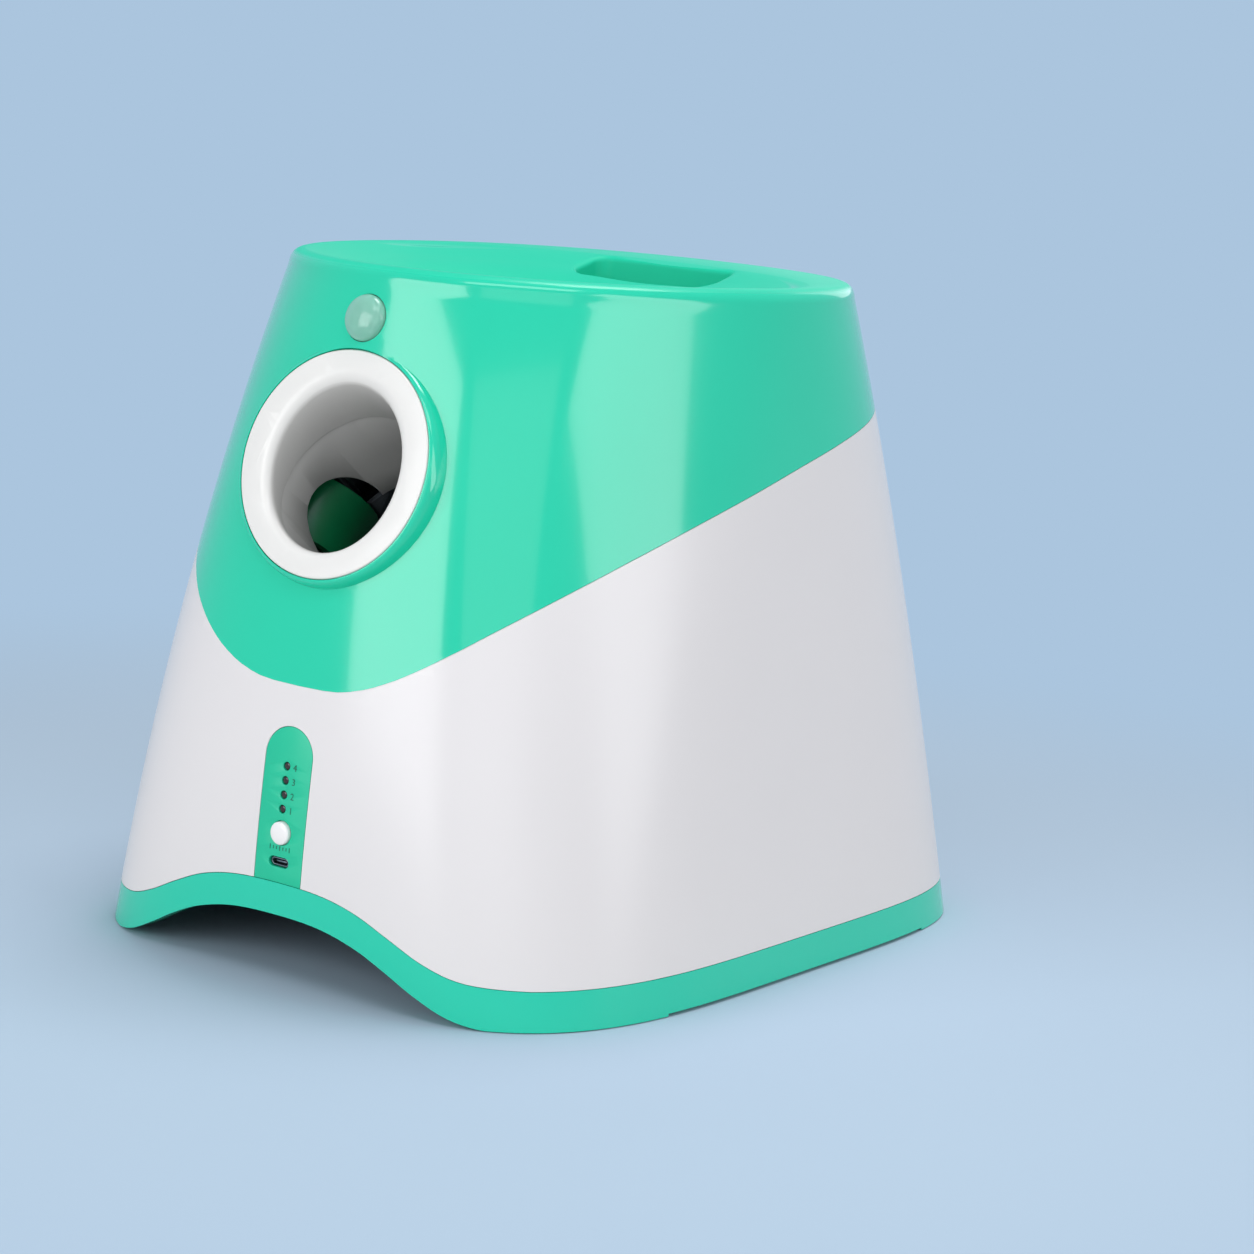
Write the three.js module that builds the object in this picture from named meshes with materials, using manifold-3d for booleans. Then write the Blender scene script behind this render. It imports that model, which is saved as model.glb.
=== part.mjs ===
// Automatic ball launcher for dogs: bowl on top, two flywheels inside, nozzle at the front.
// Millimetres, +Z up, the nozzle faces -Y, the origin is on the floor at the centre of the footprint.
import * as THREE from "three";
import { mergeVertices } from "three/addons/utils/BufferGeometryUtils.js";
import Module from "manifold-3d";

const wasm = await Module();
wasm.setup();

// Overall body
const HEIGHT = 310;
const HALF_WIDTH = { base: 148.3, top: 121.8, bulge: -1.7 };
const FRONT = { base: -192.1, top: -149, bulge: -11.4 };
const BACK = { base: 192.1, top: 123.8, bulge: 5.7 };
const MID = -3.8;
const FRONT_POWER = { base: 3.73, top: 1.95 };
const BACK_POWER = { base: 5.05, top: 2.2 };
const SHOULDER = 6.4;
const WALL = 3;
const GAP = 0.3;
const RING = 32;
const FINENESS = 0.04;

// Base
const RIM_HEIGHT = 17.5;
const RIM_THICKNESS = 8;
const TONGUE_TOP = 50;
const SIDE_RELIEF = 1.6;
const ARCH = [[0, 31], [24, 29.4], [44, 22.5], [60, 14], [75, 6], [90, 1.2], [108, 0]];
const RIM_EDGE = [[0, 44.9], [24, 43.9], [43, 40], [60, 33], [78, 24.5], [95, 19.2], [118, 17.5]];
const PLATE_BOTTOM = 33;
const PLATE_TOP = 36;

// Line between the cover and the body shell, seen from the side as (y, z)
const SPLIT = [[-215, 92], [-196, 117], [-184.8, 132], [-171.4, 153.6], [-150, 171.5], [-123, 188],
  [-71.8, 209.8], [-0.3, 232], [95, 249.5], [215, 262]];

// Case posts, where the four long screws run up
const POSTS = [[107, -92], [-107, -92], [80, 95], [-80, 95]];
const POST_RADIUS = 5;
const POST_SPLIT = 150;
const SCREW_RADIUS = 1.6;

// Nozzle, barrel and the path of a 66 mm ball
const PATH = 36;
const BORE = 34.5;
const BARREL_TILT = THREE.MathUtils.degToRad(36);
const FLANGE_TILT = THREE.MathUtils.degToRad(15.4);
const NOZZLE = new THREE.Vector3(0, -171.3, 225.8);
const FLANGE_RADIUS = 50;
const FLANGE_THICKNESS = 2.2;
const SPIGOT = 16.5;
const TUBE_WALL = 2.6;

// Flywheels
const WHEEL_DEPTH = 65.6;
const WHEEL_X = 56;
const WHEEL_RADIUS = 28;
const WHEEL_HALF = 15;
const MOTOR_RADIUS = 16.5;
const MOTOR_LENGTH = 50;

// Bowl and throat
const THROAT = { y: -62.5, radius: 37, bottom: 250 };
const BOWL = { halfWidth: 113, front: 136.5, rear: 40 };

// Hand pocket behind the bowl
const POCKET = { halfWidth: 41, front: 44, back: 90, floor: 268, corner: 9 };

// Motion sensor and control strip on the front centre line
const SENSOR_Z = 287.6;
const SENSOR_RADIUS = 10.3;
const STRIP = { halfWidth: 13, top: 112.9, thickness: 2.6 };
const LED_HEIGHTS = [95.8, 89.6, 83.3, 77.1];
const LED_X = -0.7;
const BUTTON_Z = 66.8;
const BUTTON_RADIUS = 5.1;
const PORT_Z = 54;

const blend = (span, z) => {
  const u = z / HEIGHT;
  return span.base + (span.top - span.base) * u + 4 * (span.bulge || 0) * u * (1 - u);
};
const signedPower = (v, p) => Math.sign(v) * Math.abs(v) ** p;
const frontLine = (z) => blend(FRONT, z);

// One level of the body, drawn inward by inset
function bodyRing(z, inset = 0) {
  const ring = [];
  for (let i = 0; i < RING; i += 1) {
    const t = (i / RING) * Math.PI * 2;
    const s = Math.sin(t);
    const power = 2 / blend(s < 0 ? FRONT_POWER : BACK_POWER, z);
    const reach = (s < 0 ? MID - blend(FRONT, z) : blend(BACK, z) - MID) - inset;
    const x = (blend(HALF_WIDTH, z) - inset) * signedPower(Math.cos(t), power);
    ring.push(new THREE.Vector3(x, MID + reach * signedPower(s, power), z));
  }
  return ring;
}

// Closed skin through a stack of rings with the same number of points
function loft(rings) {
  const count = rings[0].length;
  const positions = rings.flat().flatMap((p) => [p.x, p.y, p.z]);
  const index = [];
  for (let k = 0; k < rings.length - 1; k += 1) {
    for (let i = 0; i < count; i += 1) {
      const a = k * count + i;
      const b = k * count + ((i + 1) % count);
      index.push(a, b, b + count, a, b + count, a + count);
    }
  }
  [rings[0], rings[rings.length - 1]].forEach((ring, end) => {
    const centre = new THREE.Vector3();
    ring.forEach((p) => centre.addScaledVector(p, 1 / count));
    const tip = positions.length / 3;
    positions.push(centre.x, centre.y, centre.z);
    const start = end ? (rings.length - 1) * count : 0;
    for (let i = 0; i < count; i += 1) {
      const a = start + i;
      const b = start + ((i + 1) % count);
      index.push(tip, end ? a : b, end ? b : a);
    }
  });
  const geometry = new THREE.BufferGeometry();
  geometry.setAttribute("position", new THREE.Float32BufferAttribute(positions, 3));
  geometry.setIndex(index);
  return geometry;
}

function solid(geometry, place) {
  const copy = geometry.clone();
  copy.deleteAttribute("normal");
  copy.deleteAttribute("uv");
  if (place) copy.applyMatrix4(place);
  const merged = mergeVertices(copy, 1e-4);
  const make = (triVerts) => new wasm.Manifold(new wasm.Mesh({
    numProp: 3,
    vertProperties: merged.attributes.position.array,
    triVerts,
  }));
  const index = new Uint32Array(merged.index.array);
  const made = make(index);
  if (made.volume() >= 0) return made;
  for (let i = 0; i < index.length; i += 3) [index[i + 1], index[i + 2]] = [index[i + 2], index[i + 1]];
  return make(index);
}

const join = (...solids) => solids.reduce((a, b) => a.add(b));
const cut = (from, ...tools) => tools.reduce((a, b) => a.subtract(b), from);
const keep = (a, b) => a.intersect(b);

const block = (x0, x1, y0, y1, z0, z1, place) => {
  const box = new THREE.BoxGeometry(x1 - x0, y1 - y0, z1 - z0);
  box.translate((x0 + x1) / 2, (y0 + y1) / 2, (z0 + z1) / 2);
  return solid(box, place);
};

// Round bar from one point to another, with one or two radii
function bar(from, to, radius, sides = 10, place = null) {
  const a = new THREE.Vector3(...from);
  const b = new THREE.Vector3(...to);
  const along = b.clone().sub(a);
  const round = new THREE.CylinderGeometry(radius, radius, along.length(), sides);
  round.rotateX(Math.PI / 2);
  round.applyQuaternion(new THREE.Quaternion().setFromUnitVectors(new THREE.Vector3(0, 0, 1),
    along.clone().normalize()));
  round.translate((a.x + b.x) / 2, (a.y + b.y) / 2, (a.z + b.z) / 2);
  return solid(round, place);
}

const ball = (centre, radius, place = null, sides = 24) => {
  const sphere = new THREE.SphereGeometry(radius, sides, sides / 2);
  sphere.translate(...centre);
  return solid(sphere, place);
};

// Revolved profile of (radius, height) about its own Z axis
function turned(profile, sides = 32, place = null) {
  const lathe = new THREE.LatheGeometry(profile.map(([r, h]) => new THREE.Vector2(r, h)), sides);
  lathe.rotateX(Math.PI / 2);
  return solid(lathe, place);
}

// Outline drawn in X and Z, pushed along Y
function frontPrism(shape, y0, y1, place = null, curves = 8) {
  const prism = new THREE.ExtrudeGeometry(shape, { depth: y1 - y0, bevelEnabled: false,
    curveSegments: curves });
  prism.rotateX(Math.PI / 2);
  prism.translate(0, y1, 0);
  return solid(prism, place);
}

// Outline drawn in Y and Z, pushed along X
function sidePrism(shape, x0, x1, place = null) {
  const prism = new THREE.ExtrudeGeometry(shape, { depth: x1 - x0, bevelEnabled: false, curveSegments: 5 });
  prism.translate(0, 0, x0);
  const turn = new THREE.Matrix4().makeBasis(
    new THREE.Vector3(0, 1, 0), new THREE.Vector3(0, 0, 1), new THREE.Vector3(1, 0, 0));
  prism.applyMatrix4(turn);
  return solid(prism, place);
}

// Outline drawn in X and Y, pushed along Z
function flatPrism(shape, z0, z1, place = null, curves = 6) {
  const prism = new THREE.ExtrudeGeometry(shape, { depth: z1 - z0, bevelEnabled: false,
    curveSegments: curves });
  prism.translate(0, 0, z0);
  return solid(prism, place);
}

const polygon = (points) => new THREE.Shape(points.map(([a, b]) => new THREE.Vector2(a, b)));

function roundedRect(x0, x1, y0, y1, r) {
  const shape = new THREE.Shape();
  shape.moveTo(x0 + r, y0);
  shape.lineTo(x1 - r, y0).absarc(x1 - r, y0 + r, r, -Math.PI / 2, 0, false);
  shape.lineTo(x1, y1 - r).absarc(x1 - r, y1 - r, r, 0, Math.PI / 2, false);
  shape.lineTo(x0 + r, y1).absarc(x0 + r, y1 - r, r, Math.PI / 2, Math.PI, false);
  shape.lineTo(x0, y0 + r).absarc(x0 + r, y0 + r, r, Math.PI, Math.PI * 1.5, false);
  return shape;
}

const smooth = (points, steps) => new THREE.SplineCurve(points.map(([a, b]) => new THREE.Vector2(a, b)))
  .getPoints(steps).map((p) => [p.x, p.y]);

const mirrored = (points) => [...points.slice(1).reverse().map(([a, b]) => [-a, b]), ...points];

// Flywheel frame: X across, Y into the barrel, Z across the wheel faces
const axisIn = new THREE.Vector3(0, Math.cos(BARREL_TILT), -Math.sin(BARREL_TILT));
const WHEELS = NOZZLE.clone().addScaledVector(axisIn, WHEEL_DEPTH);
const mechanismPlace = new THREE.Matrix4().makeRotationX(-BARREL_TILT).setPosition(WHEELS);
const flangePlace = new THREE.Matrix4().makeRotationX(Math.PI / 2 - FLANGE_TILT).setPosition(NOZZLE);
const intoMechanism = mechanismPlace.clone().invert();

const group = new THREE.Group();
group.name = "ball_launcher";
const mechanism = new THREE.Group();
mechanism.position.copy(WHEELS);
mechanism.rotation.x = -BARREL_TILT;
group.add(mechanism);

function part(name, made, color, roughness, metalness = 0, parent = group) {
  const mesh = made.getMesh();
  const geometry = new THREE.BufferGeometry();
  geometry.setAttribute("position", new THREE.BufferAttribute(mesh.vertProperties, 3));
  geometry.setIndex(new THREE.BufferAttribute(mesh.triVerts, 1));
  geometry.computeVertexNormals();
  const material = new THREE.MeshStandardMaterial({ color, roughness, metalness });
  const piece = new THREE.Mesh(geometry, material);
  piece.name = name;
  parent.add(piece);
}

// Body skins
const LEVELS = [0, 70, 140, 210, 270];
function bodySolid(inset, from, top, shoulder) {
  const rings = LEVELS.filter((z) => z > from).map((z) => bodyRing(z, inset));
  rings.unshift(bodyRing(from, inset));
  const steps = inset ? 1 : 2;
  for (let i = 0; i <= steps; i += 1) {
    const t = (i / steps) * Math.PI / 2;
    const z = top - shoulder + shoulder * Math.sin(t);
    rings.push(bodyRing(top - shoulder, inset + shoulder * (1 - Math.cos(t))).map((p) => p.setZ(z)));
  }
  return solid(loft(rings));
}
const outer = bodySolid(0, 0, HEIGHT, SHOULDER);
const inner = bodySolid(WALL, -2, HEIGHT - WALL, 3);
const innerLine = bodySolid(WALL + 0.4, -3, HEIGHT - WALL, 3);
const midWall = bodySolid(1.5, -3, HEIGHT - 1.5, 5);
const shell = cut(outer, inner);

const splitLine = smooth(SPLIT, 16);
const aboveSplit = sidePrism(polygon([...splitLine, [215, 400], [-215, 400]]), -200, 200);
const belowSplit = sidePrism(polygon([...splitLine.map(([y, z]) => [y, z - GAP]), [215, -20], [-215,
  -20]]), -200, 200);

const edgeLine = smooth(mirrored(RIM_EDGE), 20);
const archLine = smooth(mirrored(ARCH), 20);
const underEdge = (lift, reach) => join(
  block(-200, 200, -250, 250, -5, RIM_HEIGHT + lift),
  frontPrism(polygon([...edgeLine.map(([x, z]) => [x, z + lift]), [118, -5], [-118, -5]]), -250, reach));

// Base rim: the band seen under the white shell, its tongue inside the shell, ears for the case screws
const rimRing = cut(outer, bodySolid(RIM_THICKNESS, -4, HEIGHT - WALL, 3));
const tongue = cut(innerLine, bodySolid(RIM_THICKNESS, -4, HEIGHT - WALL, 3));
let rim = keep(rimRing, underEdge(0, -100));
rim = join(rim, keep(tongue, block(-200, 200, -250, 250, 10, TONGUE_TOP)));
POSTS.forEach(([x, y]) => {
  const side = Math.sign(x);
  const ear = join(bar([x, y, PLATE_TOP + GAP], [x, y, PLATE_TOP + 3.3], 7),
    block(Math.min(x, side * 139), Math.max(x, side * 139), y - 5, y + 5, PLATE_TOP + GAP, PLATE_TOP + 3.3));
  rim = join(rim, keep(ear, innerLine));
});
rim = cut(rim, frontPrism(polygon([...archLine, [108, -9], [-108, -9]]), -250, -100));
rim = cut(rim,
  block(-200, 200, -98, 118, -9, SIDE_RELIEF),
  block(-100, 100, 120, 250, -9, SIDE_RELIEF),
  block(-200, 200, -250, 250, -9, 0.5));
POSTS.forEach(([x, y]) => { rim = cut(rim, bar([x, y, 30], [x, y, 45], 2.3)); });

// Rubber feet: pads let into the bottom of the rim at its four corners
const padBand = (from, to, low, high) => keep(
  cut(bodySolid(from, -1, HEIGHT - WALL, 3), bodySolid(to, -2, HEIGHT - WALL, 3)),
  block(-200, 200, -250, 250, low, high));
const padPocket = padBand(1.7, 7, -0.5, 3);
const pad = padBand(2, 6.6, 0, 2.7);
const CORNERS = [["right_front", 1, -1], ["left_front", -1, -1], ["right_rear", 1, 1], ["left_rear", -1, 1]];
CORNERS.forEach(([name, sx, sy]) => {
  const sector = (grow) => {
    const x = sy < 0 ? [111 - grow, 160] : [108 - grow, 160];
    const y = sy < 0 ? [104 - grow, 200] : [124 - grow, 205];
    return block(Math.min(sx * x[0], sx * x[1]), Math.max(sx * x[0], sx * x[1]),
      Math.min(sy * y[0], sy * y[1]), Math.max(sy * y[0], sy * y[1]), -1, 4);
  };
  rim = cut(rim, keep(padPocket, sector(GAP)));
  part("rubber_foot_" + name, keep(pad, sector(0)), 0x1d1f22, 0.85);
});
part("base_rim", rim.asOriginal().simplify(2 * FINENESS), 0x2fc8a2, 0.3);

// Base plate with its battery tray, board posts, speaker slots and screw holes
const plateRing = bodyRing(PLATE_TOP, RIM_THICKNESS + 1.1);
const plateShape = new THREE.Shape(plateRing.map((p) => new THREE.Vector2(p.x, p.y)));
let plate = flatPrism(plateShape, PLATE_BOTTOM, PLATE_TOP);
const TRAY = { x: 37, y0: -12, y1: 31 };
plate = join(plate,
  cut(block(-TRAY.x - 2, TRAY.x + 2, TRAY.y0 - 2, TRAY.y1 + 2, PLATE_TOP - 1, PLATE_TOP + 9),
    block(-TRAY.x, TRAY.x, TRAY.y0, TRAY.y1, PLATE_TOP - 2, PLATE_TOP + 12)));
const BOARD_POSTS = [[-42, 66], [42, 66], [-42, 126], [42, 126]];
BOARD_POSTS.forEach(([x, y]) => { plate = join(plate, bar([x, y, PLATE_TOP - 1], [x, y, PLATE_TOP + 8],
  3.5, 6)); });
const SPEAKER = [92, 20];
plate = join(plate, cut(bar([...SPEAKER, PLATE_TOP - 1], [...SPEAKER, PLATE_TOP + 4], 22.5, 14),
  bar([...SPEAKER, PLATE_TOP - 2], [...SPEAKER, PLATE_TOP + 5], 20.5, 14)));
for (let i = -1.5; i <= 1.5; i += 1) {
  const half = Math.sqrt(16 ** 2 - (i * 7) ** 2);
  plate = cut(plate, block(SPEAKER[0] - half, SPEAKER[0] + half, SPEAKER[1] + i * 7 - 1.4,
    SPEAKER[1] + i * 7 + 1.4,
    PLATE_BOTTOM - 2, PLATE_TOP + 1));
}
for (let i = -2; i <= 2; i += 1) {
  plate = join(plate, block(-88, 88, 30 * i + 3.8, 30 * i + 6.2, PLATE_BOTTOM - 2.5, PLATE_BOTTOM + 1));
}
POSTS.forEach(([x, y]) => {
  plate = join(plate, bar([x, y, PLATE_BOTTOM - 4], [x, y, PLATE_BOTTOM + 1], 8, 8));
  plate = cut(plate, bar([x, y, PLATE_BOTTOM - 6], [x, y, PLATE_TOP + 2], 2.1, 6),
    bar([x, y, PLATE_BOTTOM - 6], [x, y, PLATE_BOTTOM - 1], 4.6, 8));
});
const STAND_SCREWS = [[-54, -108], [54, -108]];
STAND_SCREWS.forEach(([x, y]) => { plate = cut(plate, bar([x, y, PLATE_BOTTOM - 6], [x, y, PLATE_TOP + 2],
  1.9, 8)); });

// White body shell with the recess for the control strip and the long screw bosses
const stadium = (half, bottom, grow) => {
  const shape = new THREE.Shape();
  const centre = STRIP.top - STRIP.halfWidth;
  shape.moveTo(-half - grow, bottom);
  shape.lineTo(half + grow, bottom);
  shape.lineTo(half + grow, centre);
  shape.absarc(0, centre, half + grow, 0, Math.PI, false);
  shape.lineTo(-half - grow, bottom);
  return shape;
};
let body = cut(keep(shell, belowSplit), underEdge(GAP, -100));
const backing = keep(cut(midWall, bodySolid(WALL + 3, -3, HEIGHT - WALL, 3)),
  frontPrism(stadium(17, TONGUE_TOP + 0.6, 0), -200, -150, null, 5));
body = join(body, backing);
[-1, 1].forEach((side) => {
  const rib = block(Math.min(side * 12.3, side * 14.3), Math.max(side * 12.3, side * 14.3), -192, -177.5,
    TONGUE_TOP + 0.6, 108);
  body = join(body, keep(rib, bodySolid(4.5, -3, HEIGHT - WALL, 3)));
});
POSTS.forEach(([x, y]) => {
  const side = Math.sign(x);
  const fin = keep(midWall,
    block(Math.min(x, side * 148), Math.max(x, side * 148), y - 1.5, y + 1.5, TONGUE_TOP + 0.6, POST_SPLIT));
  body = join(body, fin, bar([x, y, PLATE_TOP + 3.6], [x, y, POST_SPLIT], POST_RADIUS, 8));
});
body = cut(body,
  cut(frontPrism(stadium(STRIP.halfWidth, 20, GAP), -210, -150, null, 8), outer.translate([0,
    STRIP.thickness + GAP, 0])),
  frontPrism(stadium(9.5, 51.5, 0), -210, -150, null, 5));
POSTS.forEach(([x, y]) => { body = cut(body, bar([x, y, 30], [x, y, POST_SPLIT + 2], 1.9, 6)); });

// Top cover: bowl with its throat, hand pocket, nozzle seat, sensor collar and screw posts
const bowlRing = (s, z, grow) => {
  const ring = [];
  for (let i = 0; i < 26; i += 1) {
    const t = (i / 26) * Math.PI * 2;
    const front = Math.sin(t) < 0;
    const power = front ? 2 / 2.05 : 1;
    const wide = new THREE.Vector3(BOWL.halfWidth * signedPower(Math.cos(t), power),
      MID + (front ? BOWL.front : BOWL.rear) * signedPower(Math.sin(t), power), z);
    const narrow = new THREE.Vector3(THROAT.radius * Math.cos(t), THROAT.y + THROAT.radius * Math.sin(t), z);
    const point = wide.lerp(narrow, s);
    const outward = new THREE.Vector3(Math.cos(t), Math.sin(t), 0).multiplyScalar(grow);
    ring.push(point.add(outward));
  }
  return ring;
};
const BOWL_PROFILE = [[-0.05, 311], [0, 309.6], [0.05, 307.2], [0.2, 299], [0.5, 281.5], [0.8, 267], [1,
  261]];
const bowlCut = solid(loft([...BOWL_PROFILE.map(([s, z]) => bowlRing(s, z, 0)), bowlRing(1, 240,
  0)].reverse()));
const bowlSkin = solid(loft([bowlRing(-0.05, 308.4, 2), ...BOWL_PROFILE.slice(3).map(([s,
  z]) => bowlRing(s, z - 3.2, 1.4)),
  bowlRing(1, THROAT.bottom, 2.8)].reverse()));
const pocketRing = (z, grow) => {
  const r = POCKET.corner + grow;
  return roundedRect(-POCKET.halfWidth - grow, POCKET.halfWidth + grow, POCKET.front - grow,
    POCKET.back + grow, r)
    .getPoints(3).slice(0, -1).map((p) => new THREE.Vector3(p.x, p.y, z));
};
const pocketCut = solid(loft([pocketRing(POCKET.floor, -3.5), pocketRing(POCKET.floor + 3, -1.6),
  pocketRing(307.4, 0), pocketRing(309.2, 0.6), pocketRing(310.6, 2.2)]));
const pocketSkin = solid(loft([pocketRing(POCKET.floor - 2.8, -1.2), pocketRing(307.8, 2.8)]));
let cover = keep(shell, aboveSplit);
cover = join(cover, keep(join(bowlSkin, pocketSkin), outer));
const seat = cut(bar([0, 0, -14], [0, 0, -FLANGE_THICKNESS - GAP], FLANGE_RADIUS + 0.7, 20, flangePlace),
  bar([0, 0, -15], [0, 0, -FLANGE_THICKNESS - GAP - WALL], FLANGE_RADIUS - 2.3, 12, flangePlace));
cover = join(cover, keep(seat, aboveSplit));
// The cover rises to the flange's edge in a rounded flare, so that the flange lies flush
const flare = turned([[47.7, -18], [68, -18], [63, -12.3], [57.5, -6.4], [54.4, -3], [52.6, -1.1],
  [51, -0.4], [47.7, -0.4], [47.7, -18]], 36, flangePlace);
cover = join(cover, keep(cut(flare, midWall), aboveSplit));
POSTS.forEach(([x, y]) => {
  cover = join(cover, keep(bar([x, y, POST_SPLIT + GAP], [x, y, y < 0 ? 225 : 308.4], POST_RADIUS, 8),
    midWall));
});
const sensorLean = Math.atan2(frontLine(SENSOR_Z + 5) - frontLine(SENSOR_Z - 5), 10);
const sensorPlace = new THREE.Matrix4().makeRotationX(Math.PI / 2 - sensorLean)
  .setPosition(0, frontLine(SENSOR_Z), SENSOR_Z);
cover = join(cover, keep(bar([0, 0, -11], [0, 0, -1], 16.4, 14, sensorPlace), outer));
cover = cut(cover, bowlCut, pocketCut,
  bar([0, 0, -FLANGE_THICKNESS - GAP], [0, 0, 14], FLANGE_RADIUS + 0.4, 32, flangePlace),
  bar([0, -WHEEL_DEPTH - 30, 0], [0, -20, 0], BORE + TUBE_WALL + 0.6, 20, mechanismPlace),
  bar([0, 0, -17], [0, 0, -4.2], 14.6, 14, sensorPlace),
  bar([0, 0, -6], [0, 0, 8], SENSOR_RADIUS + GAP, 18, sensorPlace));
POSTS.forEach(([x, y]) => { cover = cut(cover, bar([x, y, POST_SPLIT - 2], [x, y, POST_SPLIT + 26], 1.9,
  6)); });
part("top_cover", cover.asOriginal().simplify(2 * FINENESS), 0x35d0a8, 0.25);

// Nozzle ring: flat flange, rounded lip and a spigot that meets the barrel
const lipRing = (depth, grow) => {
  const slip = -depth * Math.tan(BARREL_TILT - FLANGE_TILT);
  const tall = (BORE + grow) / Math.cos(BARREL_TILT - FLANGE_TILT);
  const ring = [];
  for (let i = 0; i < 24; i += 1) {
    const t = (i / 24) * Math.PI * 2;
    ring.push(new THREE.Vector3((BORE + grow) * Math.cos(t), slip + tall * Math.sin(t), -depth));
  }
  return ring;
};
const LIP = 6;
const lipLevels = [0, 30, 60, 90].map((deg) => THREE.MathUtils.degToRad(deg));
const boreCut = solid(loft([lipRing(-3, LIP + 3), ...lipLevels.map((a) => lipRing(LIP * (1 - Math.cos(a)),
  LIP * (1 - Math.sin(a)))),
  lipRing(70, 0)]));
const flange = turned([[0, -FLANGE_THICKNESS], [FLANGE_RADIUS, -FLANGE_THICKNESS], [FLANGE_RADIUS, -0.9],
  [FLANGE_RADIUS - 0.9, 0], [0, 0]], 32, flangePlace);
const spigot = keep(bar([0, -WHEEL_DEPTH - 30, 0], [0, -WHEEL_DEPTH + SPIGOT, 0], BORE + TUBE_WALL, 24,
  mechanismPlace),
  bar([0, 0, -60], [0, 0, -1], 70, 24, flangePlace));
part("nozzle_ring", cut(join(flange, spigot), solid(boreToWorld(boreCut))), 0xf2f3f4, 0.25);

function boreToWorld(made) {
  const mesh = made.getMesh();
  const geometry = new THREE.BufferGeometry();
  geometry.setAttribute("position", new THREE.BufferAttribute(mesh.vertProperties, 3));
  geometry.setIndex(new THREE.BufferAttribute(mesh.triVerts, 1));
  return geometry.applyMatrix4(flangePlace);
}
part("body_shell", body.asOriginal().simplify(FINENESS), 0xe9e9ec, 0.25);

// Ball path in the flywheel frame: throat, slide and barrel
const throatTop = new THREE.Vector3(0, THROAT.y, THROAT.bottom - GAP).applyMatrix4(intoMechanism);
const REST = 26;
const restWorld = new THREE.Vector3(0, REST, 0).applyMatrix4(mechanismPlace);
const slideTop = new THREE.Vector3(0, THROAT.y,
  restWorld.z + (THROAT.y - restWorld.y)).applyMatrix4(intoMechanism);
const above = new THREE.Vector3(0, THROAT.y, 300).applyMatrix4(intoMechanism);
const xyz = (v) => [v.x, v.y, v.z];
const BARREL_END = 2;
const barrelOuter = BORE + TUBE_WALL;
const pathOuter = PATH + TUBE_WALL;
const pathHollow = join(
  bar(xyz(above), xyz(slideTop), PATH, 16),
  ball(xyz(slideTop), PATH, null, 12),
  bar(xyz(slideTop), [0, REST, 0], PATH, 16),
  ball([0, REST, 0], PATH, null, 12),
  bar([0, REST, 0], [0, BARREL_END - 10, 0], PATH, 16));
const dropOuter = (grow) => bar(xyz(above), xyz(slideTop), pathOuter + grow, 16);
const wells = (radius) => [-1, 1].map((side) =>
  bar([side * WHEEL_X, 0, -17.5], [side * WHEEL_X, 0, 17.5], radius, 18));

// Barrel: tube with a well for each wheel, lower wings, corner pillars and the joint flange
let barrel = bar([0, -WHEEL_DEPTH + SPIGOT + GAP, 0], [0, BARREL_END, 0], barrelOuter, 24);
const wingShape = (side) => {
  const shape = new THREE.Shape();
  shape.moveTo(side * 20, 24);
  shape.lineTo(side * 20, -36);
  shape.lineTo(side * 48, -38);
  shape.absarc(side * WHEEL_X, 0, 33.5, side > 0 ? -1.4 : Math.PI + 1.4, side > 0 ? 1.4 : Math.PI - 1.4,
    side < 0);
  shape.lineTo(side * 20, 24);
  return shape;
};
const PILLARS = [[80.5, -21], [80.5, 21], [45, -34]];
[-1, 1].forEach((side) => {
  barrel = join(barrel, flatPrism(wingShape(side), -20.5, -18, null, 8));
  PILLARS.forEach(([x, y]) => {
    barrel = join(barrel, bar([side * x, y, -20.5], [side * x, y, 18], 3.4, 6));
  });
});
barrel = cut(barrel, dropOuter(GAP), bar([0, -80, 0], [0, 60, 0], BORE - 0.3, 24),
  bar([0, BARREL_END + 0.01, 0], [0, 70, 0], pathOuter + 3 * GAP, 16), ...wells(WHEEL_RADIUS + 2.3));
barrel = join(barrel, keep(cut(bar([0, BARREL_END - 3, 0], [0, BARREL_END, 0], barrelOuter + 4.5, 20),
  bar([0, BARREL_END - 5, 0], [0, BARREL_END + 5, 0], BORE + 1, 24)), block(-60, 60, -5, 5, -60, -18)));
const CHUTE_SCREWS = [[-27, -31.5], [27, -31.5]];
CHUTE_SCREWS.forEach(([x, z]) => { barrel = cut(barrel, bar([x, -5, z], [x, 5, z], 1.5, 8)); });
[-1, 1].forEach((side) => {
  barrel = cut(barrel, bar([side * WHEEL_X, 0, -22], [side * WHEEL_X, 0, -17], 4.2, 8));
  PILLARS.slice(0, 2).forEach(([x, y]) => {
    barrel = cut(barrel, bar([side * x, y, 6], [side * x, y, 19], 1.3, 6));
  });
});
barrel = cut(barrel, ...[-1, 1].map((side) => bar([side * 61, -8, -22], [side * 61, -8, -17], 1.7, 8)));
part("launch_barrel", barrel.asOriginal().simplify(FINENESS), 0xd9dadb, 0.4, 0, mechanism);

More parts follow.
